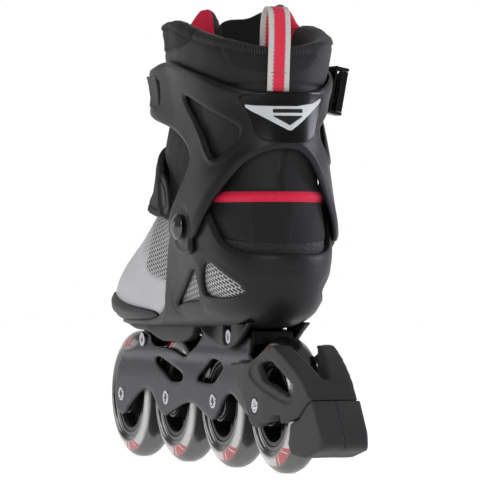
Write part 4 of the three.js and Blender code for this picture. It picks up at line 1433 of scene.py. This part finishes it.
@dataclass
class Foot:
    """Knit upper, toe bumper, tongue, insole and instep strap."""

    bumper: Outline = Outline([
        (-400, 97), (-40, 97.5), (-12, 101), (-14, 104.5), (-60, 109), (-100, 116), (-128, 119),
        (-400, 119)])
    strap: Outline = Outline([(46, 168), (46, 190), (30, 197), (0, 214), (-14, 218), (-40, 222),
                              (-70, 190), (-60, 176)])
    tongue: Outline = Outline([
        (-38, 232), (7, 232), (3, 284), (-1, 295), (-7, 299), (-18, 299.5), (-28, 300.5),
        (-36, 303.5), (-44, 307.5), (-50, 300)], Plane.REAR)

    def build(self) -> None:
        """Builds the five pieces."""
        self.upper()
        self.toe_bumper()
        self.padded_tongue()
        self.footbed()
        self.instep()

    def upper(self) -> None:
        """Builds the knit upper with its slit pattern."""
        def region(points: Array) -> Array:
            """Distance under the ankle line."""
            return below(ANKLE_LINE, points)

        def outer(points: Array, cut: Array) -> Array:
            """Gentle swell of the knit, with a seam in front of the slits."""
            z = points[:, 2]
            wave = 0.25 * np.sin(points[:, 1] / 9.0 + z / 14.0) * smooth(105, 125, z)
            return 0.15 + wave - 0.45 * smooth(-3, 0, cut)

        item = LAST.sheet(region, -4.5, outer, 0.02, 15.0, 1.5, 0.6).build("knit_upper")
        _, y, z = skate_points(item).T
        floor = np.interp(y, (-30, -20, 9, 22, 32), (136, 129, 124, 112, 100))
        open_knit = smooth(-31, -24, y + 1.5 * np.sin(z / 4.0)) * smooth(-1, 4, z - floor)
        open_knit = np.maximum(open_knit, 0.5 * smooth(-44, -34, y) * smooth(140, 150, z))
        paint(item, "open", open_knit * (attribute(item, "face") > 0.4))
        paint(item, "low", mask(np.maximum(140.5 - z, 44 - y)))
        hand_over(item, Knit().material(), Body.ROOT, ["boot_upper"])

    def toe_bumper(self) -> None:
        """Builds the rubber toe bumper with a thick lip."""
        def outer(points: Array, cut: Array) -> Array:
            """Fuller along its top, thin at its bottom."""
            z = points[:, 2]
            return 2.1 + 1.5 * smooth(100, 108, z) * smooth(0.5, -4, cut) - 0.4 * bell(z - 103, 1)

        sheet = LAST.sheet(self.bumper.distance, 0.2, outer, 0.02, 8.0, 1.2, 0.8, 2.0)
        item = sheet.build("toe_bumper_rubber")
        hand_over(item, BUMPER_RUBBER.material(), Body.ROOT, ["toe_bumper"])

    def padded_tongue(self) -> None:
        """Builds the tongue, which stands above the collar in front."""
        def region(points: Array) -> Array:
            """Distance to the tongue's front outline, on the front half only."""
            return np.maximum(self.tongue.distance(points), points[:, 1] - 38)

        def outer(points: Array, cut: Array) -> Array:
            """Padding that swells away from the edge, with stitched channels."""
            swell = 2.2 * smooth(0, -9, cut)
            channels = 0.7 * bell(np.abs(points[:, 0] + 9) - 13, 1.0)
            return -12.4 + swell - channels

        item = LAST.sheet(region, -16.5, outer, 12.0, 18.98, 1.3, 0.8).build("tongue")
        aside = np.abs(skate_points(item)[:, 0] + 14) - 12
        plain(item, mask(-aside), np.clip(np.abs(aside), 0, 3))
        hand_over(item, SpacerMesh("dark_tongue_cloth", 1.8).material(), Body.CUFF,
                  ["tongue"])

    def footbed(self) -> None:
        """Builds the insole that the foot stands on."""
        item = floor_plate("insole", 130, 60, (104.2, 109.6))
        cloth = Woven("grey_insole_cloth", (0.05, 0.05, 0.055), 1.2, 0.85)
        hand_over(item, cloth.material(), Body.ROOT, ["insole"])

    def instep(self) -> None:
        """Builds the padded instep strap with its folded flap."""
        def outer(points: Array, cut: Array) -> Array:
            """Padding with a stitched border and a double flap on the inner side."""
            x, y, _ = points.T
            border = bell(cut + 3.4, 0.7)
            flap = 2.2 * smooth(20, 22.5, x) * smooth(30, 27.5, y)
            return 6.9 + 1.0 * smooth(0, -6, cut) - 0.7 * border + flap

        sheet = LAST.sheet(self.strap.distance, 5.0, outer, 4.0, 14.0, 1.3, 0.8, 6.0)
        item = sheet.build("padded_instep")
        edge = attribute(item, "edge")
        y = skate_points(item)[:, 1]
        line = np.minimum(np.abs(edge + 3.4), np.abs(y - 29.5))
        plain(item, mask(28 - y), np.clip(line, 0, 3))
        hand_over(item, SpacerMesh("black_strap_cloth", 1.6).material(), Body.ROOT,
                  ["instep_strap"])


def insole_half(y: Array) -> Array:
    """Half width of the insole at places along the foot, rounded off at both ends."""
    ends = np.sqrt(np.clip(1 - ((y - 10) / 127.0) ** 6, 0.0, 1.0))
    return np.interp(y, (-115, -60, 0, 60, 130), (22, 33, 31, 29, 31)) * ends


def floor_plate(name: str, rows: int, columns: int, heights: tuple[float, float]) -> Any:
    """Plate on the floor of the boot, dished on top and with a rounded rim.

    Args:
        name: name of the piece.
        rows: grid lines along the foot.
        columns: grid lines across it.
        heights: bottom and top of the plate.

    Returns:
        The plate.
    """
    rim = LAST.lifted(np.linspace(0.4, 10.4, rows), np.full(rows, np.pi / 2), -5.2)
    y = np.linspace(rim[:, 1].min() + 8, 132, rows)
    low, high = heights
    across = np.linspace(-1, 1, columns)[None, :]
    dish = 1.6 * np.abs(across) ** 4 - 0.9 * bell(across * 2, 1)
    layers = []
    for height, share in ((high + dish, 1.0), (high - 1.2, 1.035), (low, 1.0)):
        x = insole_half(y)[:, None] * across * share
        layers.append(np.stack([x, np.broadcast_to(y[:, None], x.shape),
                                np.broadcast_to(height, x.shape)], -1).reshape(-1, 3))
    count = rows * columns
    quads = grid_faces(rows, columns, False, False)
    start, end = Sheet.open_edges(quads)
    faces = [quads, quads[:, ::-1] + 2 * count]
    for above in (0, count):
        faces.append(np.stack([end, start, start + count, end + count], 1) + above)
    return make_object(name, np.concatenate(layers), np.concatenate(faces)[:, ::-1])


# ---- hard parts
def revolved(profile: Array, turns: int, centre: tuple[float, float], pocket: Any = None
             ) -> tuple[Array, Array]:
    """Solid of revolution about an axis along X.

    Args:
        profile: closed outline as x and radius.
        turns: segments round the axis.
        centre: y and z of the axis.
        pocket: optional function that changes the radii for an angle.

    Returns:
        Points and faces.
    """
    angle = np.linspace(0, 2 * np.pi, turns, endpoint=False)
    x = np.repeat(profile[:, 0][:, None], turns, 1)
    radius = np.repeat(profile[:, 1][:, None], turns, 1)
    if pocket is not None:
        radius = pocket(x, radius, angle[None, :])
    y = centre[0] + radius * np.cos(angle)
    z = centre[1] + radius * np.sin(angle)
    points = np.stack([x, y, z], -1).reshape(-1, 3)
    faces = grid_faces(len(profile), turns, True, True)
    return points, faces if signed_area(profile) < 0 else faces[:, ::-1]


@dataclass(frozen=True)
class Urethane:
    """Smoky clear urethane with red blocks and silver strokes printed on its sides."""

    name: str = "smoky_urethane"

    def material(self) -> Any:
        """Builds the material from the painted prints and the distance from the hub."""
        shader = Shader(self.name)
        smoke, red = shader.painted("smoke"), shader.painted("red").step(0.0, 0.12)
        silver = shader.painted("silver").step(0.0, 0.12)
        slow = shader.noise(9.0, 3.0)
        tint = shader.mix(smoke, (0.66, 0.65, 0.65), (0.006, 0.005, 0.0055))
        tint = shader.mix(slow * 0.12, tint, (0.020, 0.018, 0.018))
        tint = shader.mix(silver, tint, (0.50, 0.48, 0.46))
        tint = shader.mix(red, tint, (0.40, 0.004, 0.010))
        scuff = shader.noise(1.6, 4.0)
        rough = scuff.step(0.45, 0.8) * 0.22 + 0.10
        return shader.set(Base_Color=tint, Roughness=rough, Transmission_Weight=0.12, IOR=1.48,
                          Specular_IOR_Level=0.15, Coat_Weight=0.04, Coat_Roughness=0.06,
                          Normal=shader.bump(scuff, 0.01, 0.3))


@dataclass
class Wheels:
    """Four wheels, each with a tyre, a spoked core, two bearings, a spacer and an axle."""

    places: tuple[float, ...] = (-138.0, -46.0, 46.0, 138.0)
    tread: Points = (
        (0.0, 45.0), (3.0, 44.7), (6.0, 43.5), (8.6, 41.2), (10.6, 38.2), (11.7, 35.2),
        (11.9, 33.2), (11.2, 31.6), (10.3, 30.4), (10.0, 29.2), (10.2, 28.0), (9.8, 27.1))
    print_place: float = 37.3

    def build(self) -> None:
        """Builds all four wheels."""
        urethane = Urethane().material()
        plastic = Moulded("black_wheel_core", (0.006, 0.006, 0.0065), 0.30, 0.5, 0.03).material()
        steel = BRIGHT_STEEL.material()
        for number, y in enumerate(self.places, 1):
            self.tyre(number, y, urethane)
            self.core(number, y, plastic)
            self.bearings(number, y, steel)
            self.axle(number, y, steel)

    def tyre(self, number: int, y: float, material: Any) -> None:
        """Lathes the tyre and paints its prints.

        Args:
            number: number of the wheel.
            y: place of its axle.
            material: its urethane.
        """
        half = np.array(self.tread)
        length = arc_length(half)
        fine = np.linspace(0, length[-1], 26)
        half = np.stack([np.interp(fine, length, half[:, axis]) for axis in (0, 1)], 1)
        profile = np.concatenate([half, (half * (-1, 1))[:0:-1]])
        points, faces = revolved(profile, 240, (y, WHEEL_RADIUS))
        item = make_object(f"wheel_{number}_tyre_fine", points, faces)
        across, up = points[:, 1] - y, points[:, 2] - WHEEL_RADIUS
        radius = np.hypot(across, up)
        turn = np.degrees(np.arctan2(across, up))
        folded = np.abs((turn + 90 + 7.0 * number) % 180 - 90)
        ring = 3.2 - np.abs(radius - self.print_place)
        slant = 0.65 * folded - 0.8 * (radius - self.print_place)
        block = np.minimum(np.minimum(ring, 10 - slant), np.abs(slant - 5.5) - 0.7)
        silver = np.minimum(2.3 - np.abs(radius - self.print_place), 4.6 - np.abs(slant - 16.5))
        outside = np.abs(points[:, 0]) > 4
        clear = smooth(8.6, 10.6, np.abs(points[:, 0])) * smooth(33.0, 36.5, radius)
        paint(item, "smoke", 1.0 - clear * 0.85)
        paint(item, "red", np.where(outside, block, -1))
        paint(item, "silver", np.where(outside, silver, -1))
        hand_over(item, material, f"wheel_{number}", [f"wheel_{number}_tyre"])

    def core(self, number: int, y: float, material: Any) -> None:
        """Builds the core: rim, seat and a web with five rounded windows.

        Args:
            number: number of the wheel.
            y: place of its axle.
            material: its plastic.
        """
        rim = rounded([(9.7, 26.9), (9.7, 24.2), (7.4, 23.0), (3.0, 22.0), (-3.0, 22.0),
                       (-7.4, 23.0), (-9.7, 24.2), (-9.7, 26.9)], 0.6)
        seat = rounded([(12.0, 13.8), (12.0, 11.2), (4.9, 11.15), (4.9, 9.0), (-4.9, 9.0),
                        (-4.9, 11.15), (-12.0, 11.2), (-12.0, 13.8)], 0.5)
        parts = [revolved(profile, 120, (y, WHEEL_RADIUS)) for profile in (rim, seat)]

        def web(radius: Array, angle: Array) -> Array:
            """Middle plane of the wheel."""
            radius, angle = np.broadcast_arrays(radius, angle)
            return np.stack([np.zeros_like(radius), y + radius * np.cos(angle),
                             WHEEL_RADIUS + radius * np.sin(angle)], -1)

        def region(points: Array) -> Array:
            """Distance to the spokes: everything except five rounded windows."""
            across, up = points[..., 1] - y, points[..., 2] - WHEEL_RADIUS
            radius = np.hypot(across, up)
            sector = 2 * np.pi / 5
            turn = (np.arctan2(across, up) + sector / 2) % sector - sector / 2
            window = np.maximum(np.abs(radius - 18.6) - 3.4, np.abs(turn) * radius - 7.4)
            return -window

        def outer(points: Array, cut: Array) -> Array:
            """Thickness of one half of the web, with a rib along each spoke."""
            return 1.4 + 2.2 * smooth(-0.5, -2.0, cut)

        for side in (1.0, -1.0):
            sheet = Sheet(web, np.linspace(13.0, 23.0, 24), np.linspace(0, 2 * np.pi, 181)[:-1],
                          True, region, wall_face(-0.2), outer, 0.4, side=side)
            half = sheet.build("web")
            quads = np.zeros(4 * len(half.data.polygons), np.int32)
            half.data.polygons.foreach_get("vertices", quads)
            parts.append((skate_points(half), quads.reshape(-1, 4)))
            bpy.data.objects.remove(half)
        item = joined(f"wheel_{number}_core_fine", parts)
        hand_over(item, material, f"wheel_{number}", [f"wheel_{number}_hub"])

    def bearings(self, number: int, y: float, material: Any) -> None:
        """Lathes both bearings with a shield between their rings.

        Args:
            number: number of the wheel.
            y: place of its axle.
            material: steel.
        """
        parts = []
        for side in (1.0, -1.0):
            profile = rounded([(12.1, 4.05), (12.1, 6.0), (11.7, 6.3), (11.7, 9.2), (12.1, 9.5),
                               (12.1, 10.95), (5.3, 10.95), (5.3, 9.5), (5.7, 9.2), (5.7, 6.3),
                               (5.3, 6.0), (5.3, 4.05)], 0.25, 3) * (side, 1)
            parts.append(revolved(profile, 72, (y, WHEEL_RADIUS)))
        item = joined(f"wheel_{number}_bearings_fine", parts)
        hand_over(item, material, f"wheel_{number}",
                  [f"wheel_{number}_bearing_inner", f"wheel_{number}_bearing_outer"])

    def axle(self, number: int, y: float, material: Any) -> None:
        """Lathes the axle with a socket in each head, and the spacer round it.

        Args:
            number: number of the wheel.
            y: place of its axle.
            material: steel.
        """
        end = 23.2 if number == WHEEL_COUNT else 17.6
        half = rounded([(end - 1.6, 0.02), (end - 1.6, 2.5), (end, 2.9), (end, 4.6),
                        (end - 0.5, 5.0), (end - 1.6, 5.0), (end - 1.6, 3.95)], 0.25, 4)
        shaft = np.array([(end - 2.4, 3.95), (-end + 2.4, 3.95)])
        profile = np.concatenate([half, shaft, (half * (-1, 1))[::-1]])

        def six_lobes(x: Array, radius: Array, angle: Array) -> Array:
            """Makes the socket's wall wavy, with six lobes."""
            inside = (radius > 1.5) & (radius < 3.1) & (np.abs(x) > end - 1.7)
            return np.where(inside, radius * (1 + 0.10 * np.cos(6 * angle)), radius)

        item = make_object(f"wheel_{number}_axle_fine",
                           *revolved(profile, 96, (y, WHEEL_RADIUS), six_lobes))
        hand_over(item, material, Body.ROOT, [f"wheel_{number}_axle"])
        spacer = rounded([(5.1, 4.4), (5.1, 5.6), (-5.1, 5.6), (-5.1, 4.4)], 0.2, 3)
        sleeve = make_object(f"wheel_{number}_spacer_fine",
                             *revolved(spacer, 48, (y, WHEEL_RADIUS)))
        hand_over(sleeve, material, Body.ROOT, [f"wheel_{number}_spacer"])


@dataclass
class HardParts:
    """Screws, pivots, buckle and ladder strap, with rounded edges."""

    pivot: tuple[float, float] = PIVOT

    def build(self) -> None:
        """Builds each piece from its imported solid."""
        steel = BRIGHT_STEEL.material()
        plastic = Moulded("black_buckle_plastic", (0.0035, 0.0035, 0.004), 0.34, 0.5, 0.03)
        gloss = Moulded("glossy_lever_plastic", (0.003, 0.003, 0.0035), 0.16, 0.6, 0.01, 0.4)
        black, shiny = plastic.material(), gloss.material()
        grey = Moulded("grey_strap_plastic", (0.030, 0.030, 0.032), 0.5, 0.6, 0.05).material()
        screws = ["front_screw_inner", "front_screw_outer", "rear_screw_inner", "rear_screw_outer"]
        plan = (
            ("frame_screws", screws, 0.35, steel, Body.ROOT, "steel"),
            ("brake_screw_fine", ["brake_screw"], 0.3, steel, Body.ROOT, "steel"),
            ("ladder_strap_fine", ["ladder_strap"], 0.4, grey, Body.CUFF, "strap_plastic"),
            ("buckle_base_fine", ["buckle_base"], 0.5, black, Body.CUFF, "buckle_plastic"),
            ("buckle_lever_fine", ["buckle_lever"], 0.6, shiny, Body.LEVER, "buckle_plastic"),
            ("buckle_latch_fine", ["buckle_latch"], 0.4, black, Body.LATCH, "latch"),
            ("buckle_pins", ["buckle_lever_pin", "buckle_latch_pin"], 0.25, steel, Body.CUFF,
             "steel"))
        for name, nodes, width, material, body, slot in plan:
            item = refined(name, nodes, width)
            hand_over(item, material, body, nodes)
        self.pivots()

    def pivots(self) -> None:
        """Lathes the domed rivet of each side of the cuff."""
        parts = []
        for side in (1.0, -1.0):
            dome = [(58.2 - 0.052 * radius**2, radius) for radius in np.linspace(0.02, 7.4, 9)]
            profile = np.array(dome + [(54.6, 8.6), (53.9, 8.95), (53.3, 8.6), (53.3, 3.9),
                                       (38.4, 3.9), (38.4, 0.02)])
            parts.append(revolved(profile * (side, 1), 96, self.pivot))
        item = joined("cuff_pivots_fine", parts)
        hand_over(item, DARK_STEEL.material(), Body.ROOT,
                  ["cuff_pivot_inner", "cuff_pivot_outer"])


@dataclass
class Webbing:
    """Pull loop at the heel and the lace across the instep."""

    width: float = 15.4
    thickness: float = 1.5
    path: tuple[tuple[float, float, float], ...] = (
        (4.6, 133.9, 250.5), (4.5, 134.4, 260), (4.2, 134.7, 272), (3.6, 134.2, 284),
        (2.9, 132.4, 295), (2.6, 130.4, 302.6), (2.8, 126.4, 305.9), (3.2, 122.6, 304.2),
        (3.4, 119.6, 298.5), (3.2, 117.6, 290), (3.0, 116.4, 280), (3.0, 115.8, 268))

    def build(self) -> None:
        """Builds the loop and the lace."""
        self.loop()
        self.lace()

    def loop(self) -> None:
        """Sweeps the band along its path, with raised red and flat white stripes."""
        line = corner_curve(np.array(self.path), 150)
        tangent = unit(np.gradient(line, axis=0))
        across = unit(np.array([1.0, 0.0, 0.0]) - tangent * tangent[:, :1])
        normal = np.cross(across, tangent)
        share = np.linspace(-1, 1, 41)
        flat, face = np.concatenate([share, share[::-1]]), np.repeat([1.0, -1.0], share.size)
        bulge = np.where(np.abs(flat) < 0.52, 1.0, 0.72)
        rim = np.sqrt(np.clip(1 - np.clip((np.abs(flat) - 0.93) / 0.07, 0, 1) ** 2, 0.0, 1.0))
        height = face * self.thickness / 2 * bulge * np.maximum(rim, 0.12)
        side = flat * self.width / 2
        points = (line[:, None, :] + across[:, None, :] * side[None, :, None]
                  + normal[:, None, :] * height[None, :, None])
        rows, columns = points.shape[:2]
        faces = grid_faces(rows, columns, False, True)
        caps = [cap_fan(columns, 0, False), cap_fan(columns, (rows - 1) * columns, True)]
        uv = np.stack(np.meshgrid(arc_length(line), side, indexing="ij"), -1)
        item = make_object("pull_loop_webbing", points.reshape(-1, 3),
                           np.concatenate([faces, *caps]), uv.reshape(-1, 2) * MM)
        hand_over(item, self.striped(), Body.CUFF, ["pull_loop"])

    def striped(self) -> Any:
        """Material of the loop: red middle, white borders and dashed stitches."""
        shader = Shader("striped_webbing")
        along, across = shader.along()
        centre = across.magnitude()
        red = centre.step(0.0039, 0.0036)
        weave = (along * 5200.0).sin() * (across * 4200.0).sin() * 0.5 + 0.5
        fine = shader.noise(0.3, 2.0)
        dash = (along * (1000 / 2.6)).fract().step(0.55, 0.6)
        stitch = (centre - 0.00405).magnitude().step(0.0003, 0.00018) * dash
        box = (along - 0.012).magnitude().step(0.0005, 0.0003) * centre.step(0.0055, 0.0053)
        white = shader.mix(weave * 0.6 + fine * 0.3, (0.42, 0.39, 0.37), (0.72, 0.70, 0.68))
        crimson = shader.mix(weave * 0.6 + fine * 0.4, (0.52, 0.004, 0.026), (0.80, 0.014, 0.062))
        tint = shader.mix(red, white, crimson)
        tint = shader.mix(stitch.math("MAXIMUM", box * dash), tint, (0.12, 0.05, 0.06))
        return shader.set(Base_Color=tint, Roughness=(fine - 0.5) * 0.2 + 0.8, Sheen_Weight=0.2,
                          Normal=shader.bump(weave + fine * 0.3 - stitch, 0.3, 0.8))

    def lace(self) -> None:
        """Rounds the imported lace."""
        item = refined("lace_fine", ["lace"], 0.35)
        cord = Woven("black_lace", (0.005, 0.005, 0.0055), 1.0)
        hand_over(item, cord.material(), Body.ROOT, ["lace"])


def corner_curve(corners: Array, count: int) -> Array:
    """Even points along a Catmull-Rom curve through the corners.

    Args:
        corners: points that the curve runs through.
        count: number of even points.

    Returns:
        The points.
    """
    extended = np.concatenate([[2 * corners[0] - corners[1]], corners,
                               [2 * corners[-1] - corners[-2]]])
    t = np.linspace(0, len(corners) - 1 - 1e-6, count * 4)
    index = t.astype(int)
    near = (extended[index + k] for k in range(4))
    curve = catmull_rom(*near, (t - index)[:, None])
    length = arc_length(curve)
    even = np.linspace(0, length[-1], count)
    return np.stack([np.interp(even, length, curve[:, axis]) for axis in range(3)], 1)


def cap_fan(columns: int, start: int, flip: bool) -> Array:
    """Quads that close the end of a swept band, between its two faces."""
    half = columns // 2
    low = np.arange(half - 1)
    quads = np.stack([low, low + 1, columns - 2 - low, columns - 1 - low], 1) + start
    return quads[:, ::-1] if flip else quads


@dataclass
class Frame:
    """Aluminium frame: two bent walls with windows, joined by a front and a rear deck."""

    outline: Outline = Outline([
        (-152.5, 47), (-151.5, 37), (-146, 31.5), (-137, 30.3), (-129, 32.5), (-122, 37.5),
        (-97, 49.4), (-83, 50.6), (-73, 46), (-60, 34.5), (-50, 31.6), (-40, 34.5), (-12, 42),
        (3.6, 42.7), (18, 39.5), (34, 33.5), (44, 31.8), (54, 36), (68, 49), (77, 51.3),
        (86, 49), (104, 39), (124, 33), (138, 30.5), (149, 35), (152.5, 45), (147, 57),
        (128, 66), (113, 73), (113, 94.4), (24, 94.4), (21, 87), (5, 79), (-10, 72.4),
        (-24, 77), (-45, 80), (-77, 81), (-80, 90), (-102, 90), (-105, 80), (-141, 74.5),
        (-149, 62)], rounding=1)
    windows: tuple[Outline, ...] = (
        Outline([(-73, 70), (-66, 72.8), (-58, 72), (-14, 62.5), (-12.5, 58.6), (-18, 56.5),
                 (-34, 56), (-40, 58)], rounding=2),
        Outline([(13, 60), (17.5, 57.5), (44, 56.6), (50, 58.5), (61, 66.5), (62, 69.6), (50, 73),
                 (38, 73)], rounding=2))
    boss: tuple[float, float, float] = (6.2, 12.7, 14.4)
    profile: Points = ((25, 17.0), (58, 17.0), (63, 16.7), (69.5, 15.9), (72, 15.9), (74, 16.8),
                       (76.5, 17.3), (79, 17.0), (81, 16.4), (96, 16.3))

    def region(self, points: Array) -> Array:
        """Distance to the outline, with both windows taken out."""
        value = self.outline.distance(points)
        for window in self.windows:
            value = np.maximum(value, -window.distance(points))
        return value + 0.5

    def build(self) -> None:
        """Builds both walls, the decks and the axle bosses as one piece."""
        heights, depths = np.array(self.profile).T
        fine = np.arange(24.0, 96.0, 0.25)
        smooth_depths = np.convolve(np.pad(np.interp(fine, heights, depths), 5, "edge"),
                                    np.ones(11) / 11, "valid")
        parts = []
        for side in (1.0, -1.0):
            def locate(y: Array, z: Array, side: float = side) -> Array:
                """Outer face of one wall."""
                y, z = np.broadcast_arrays(y, z)
                return np.stack([side * np.interp(z, fine, smooth_depths), y, z], -1)

            lines = (np.linspace(-154, 154, 250), np.linspace(29, 95, 66))
            sheet = Sheet(locate, *lines, False, self.region, wall_face(-3.0),
                          lambda points, cut: -0.35 * smooth(-1.6, 0.0, cut), 0.35, side=side)
            parts.append(sheet.build("wall"))
            for y in Wheels.places:
                radius, low, high = self.boss
                ring = [(y + radius * np.cos(a), WHEEL_RADIUS + radius * np.sin(a))
                        for a in np.linspace(0, 2 * np.pi, 28, endpoint=False)]
                ends = sorted((side * low, side * high))
                parts.append(prism("boss", ring, 0, *ends, 0.3, 0.4))
        rear = [(26, 84), (112.5, 84), (112.5, 93.4), (26, 93.4)]
        front = [(-104, 70), (-80, 70), (-80, 78.4), (-104, 78.4)]
        parts += [prism("rear_deck", rear, 0, -14.6, 14.6, 0.8, 1.0),
                  prism("front_deck", front, 0, -14.6, 14.6, 0.8, 1.0)]
        item = merged("frame_walls_and_decks", parts)
        hand_over(item, self.material(), Body.ROOT, ["frame"])

    @staticmethod
    def material() -> Any:
        """Anodised metal, with painted shade that makes it darker between the walls than on their
        outer faces.
        """
        shader = Shader("dark_anodised_aluminium")
        x = shader.parts(shader.place())[0]
        # painted shade: the metal within 15 mm of the middle plane, between the walls, is darkened
        # towards near black where shade falls
        inside = (x - float(ORIGIN[0])).magnitude().step(0.0152, 0.0146)
        lines = shader.streaks(0.6, (1.0, 0.05, 1.0))
        wear = shader.noise(18.0, 4.0)
        tint = shader.mix(lines * 0.4 + wear.step(0.45, 0.8) * 0.3, (0.020, 0.018, 0.023),
                          (0.046, 0.042, 0.051))
        tint = shader.mix(inside * 0.85, tint, (0.006, 0.006, 0.006))
        rough = (lines - 0.5) * 0.12 + (wear - 0.5) * 0.14 + 0.36
        return shader.set(Base_Color=tint, Metallic=0.75, Roughness=rough,
                          Normal=shader.bump(lines, 0.01, 0.3))


@dataclass
class Brake:
    """Brake bracket with a recessed window, and its rubber pad."""

    recess: Outline = Outline([(122, 66), (143, 78), (160, 80.5), (202, 58), (197, 49), (186, 46),
                               (140, 58)], rounding=2)

    def build(self) -> None:
        """Builds both pieces from their melted solids, with relief on the flanks."""
        bracket = melted("brake_bracket_plastic", ["brake_bracket"], 0.9, 12)
        places = skate_points(bracket)
        flank = smooth(14.5, 17.5, np.abs(places[:, 0]))
        hollow = smooth(0.4, -1.4, self.recess.distance(places)) * flank
        shift(bracket, places, hollow * 1.3)
        hand_over(bracket, BRAKE_PLASTIC.material(), Body.ROOT, ["brake_bracket"])
        pad = melted("brake_pad_rubber", ["brake_pad"], 0.9, 12)
        places = skate_points(pad)
        # painted shade along the pad's middle crease, drawn by the rubber's finish
        paint(pad, "crease", np.clip(np.abs(places[:, 0] - 1.0), 0, 3))
        hand_over(pad, BRAKE_RUBBER.material(), Body.ROOT, ["brake_pad"])


def shift(item: Any, places: Array, inwards: Array) -> None:
    """Moves the vertices of both flanks towards the middle plane, in millimetres."""
    moved = places.copy()
    moved[:, 0] -= np.sign(places[:, 0]) * inwards
    item.data.vertices.foreach_set("co", placed(moved).astype(np.float32).ravel())
    item.data.update()


# ---- studio
@dataclass
class Studio:
    """Pale floor, soft lights and the camera."""

    azimuth: float = 21.1
    distance: float = 3010.0
    aside: float = 19.0
    height: float = 140.0
    focal: float = 4400.0
    horizon: float = 260.0
    frame_side: float = 480.0
    sensor: float = 36.0
    dim: float = 0.26
    bright: float = 1.0
    fade: tuple[float, float] = (0.6, 0.97)
    reach: float = 6000.0

    def camera(self) -> None:
        """Places the camera behind the heel, level, with the horizon a little under the middle."""
        turn = np.radians(self.azimuth)
        back = np.array([np.sin(turn), np.cos(turn), 0.0])
        right = np.array([-np.cos(turn), np.sin(turn), 0.0])
        place = right * self.aside + back * self.distance + np.array([0.0, 0.0, self.height])
        data = bpy.data.cameras.new("camera")
        data.sensor_width = self.sensor
        data.lens = self.focal / self.frame_side * self.sensor
        data.shift_y = self.horizon / self.frame_side - 0.5
        data.clip_end = 100.0
        up = [0.0, 0.0, 1.0]
        bpy.context.scene.camera = self.stand("camera", data, placed(place), (right, up, back))

    @staticmethod
    def stand(name: str, data: Any, place: Array, axes: Sequence[Any]) -> Any:
        """Puts a camera or a light at a place, turned to its right, up and back."""
        item = linked(name, data)
        turn = Matrix(np.stack(axes, 1).tolist()).to_4x4()
        item.matrix_world = Matrix.Translation(place) @ turn
        return item

    def light(self, name: str, place: tuple[float, float, float], size: float,
              power: float, colour: Colour = (1.0, 1.0, 1.0)) -> None:
        """Adds one square soft light that looks at the boot.

        Args:
            name: name of the light.
            place: where it stands.
            size: its side in metres.
            power: its strength in watts.
            colour: its tint.
        """
        data = bpy.data.lights.new(name, "AREA")
        data.color = colour
        data.size = size
        data.energy = power
        target = placed(np.array([0.0, 40.0, 150.0]))
        source = placed(np.array(place))
        away = unit(source - target)
        side = unit(np.cross([0.0, 0.0, 1.0], away))
        self.stand(name, data, source, (side, np.cross(away, side), away))

    def surroundings(self) -> None:
        """Makes a world that is white behind the skate and dim on the other side."""
        world = bpy.data.worlds.new("pale_studio")
        world.use_nodes = True
        nodes, links = world.node_tree.nodes, world.node_tree.links
        direction = nodes.new("ShaderNodeTexCoord").outputs["Generated"]
        facing = nodes.new("ShaderNodeVectorMath")
        facing.operation = "DOT_PRODUCT"
        turn = np.radians(self.azimuth)
        facing.inputs[1].default_value = (-np.sin(turn), -np.cos(turn), 0.0)
        span = nodes.new("ShaderNodeMapRange")
        span.interpolation_type = "SMOOTHSTEP"
        for name, value in (("From Min", self.fade[0]), ("From Max", self.fade[1]),
                            ("To Min", self.dim), ("To Max", self.bright)):
            span.inputs[name].default_value = value
        links.new(direction, facing.inputs[0])
        links.new(facing.outputs["Value"], span.inputs["Value"])
        links.new(span.outputs[0], nodes["Background"].inputs[1])
        nodes["Background"].inputs[0].default_value = (1.0, 1.0, 1.0, 1.0)
        bpy.context.scene.world = world

    def build(self) -> None:
        """Makes the floor, the world, the lights and the camera."""
        low = CAD_BOX[0][2] / MM - ORIGIN[2] / MM
        corners = [(x * self.reach, y * self.reach, low)
                   for x, y in ((-1, -1), (1, -1), (1, 1), (-1, 1))]
        floor = make_object("floor", corners, np.array([[0, 1, 2, 3]]))
        dress(floor, Paper().material())
        bpy.context.scene.view_settings.view_transform = "Standard"
        self.surroundings()
        self.light("key", (900, 1700, 1300), 1.0, 15)
        self.light("edge_outer", (-1500, 300, 600), 0.7, 13, (0.86, 0.86, 1.0))
        self.light("edge_inner", (1500, -1300, 450), 0.8, 5)
        self.camera()


def main() -> None:
    """Builds every sub-assembly in order."""
    Studio().build()
    for builder in BUILDERS:
        builder().build()


BUILDERS = (LowerShell, Cuff, Liner, Foot, Wheels, Frame, Brake, HardParts, Webbing)

if __name__ == "__main__":
    main()
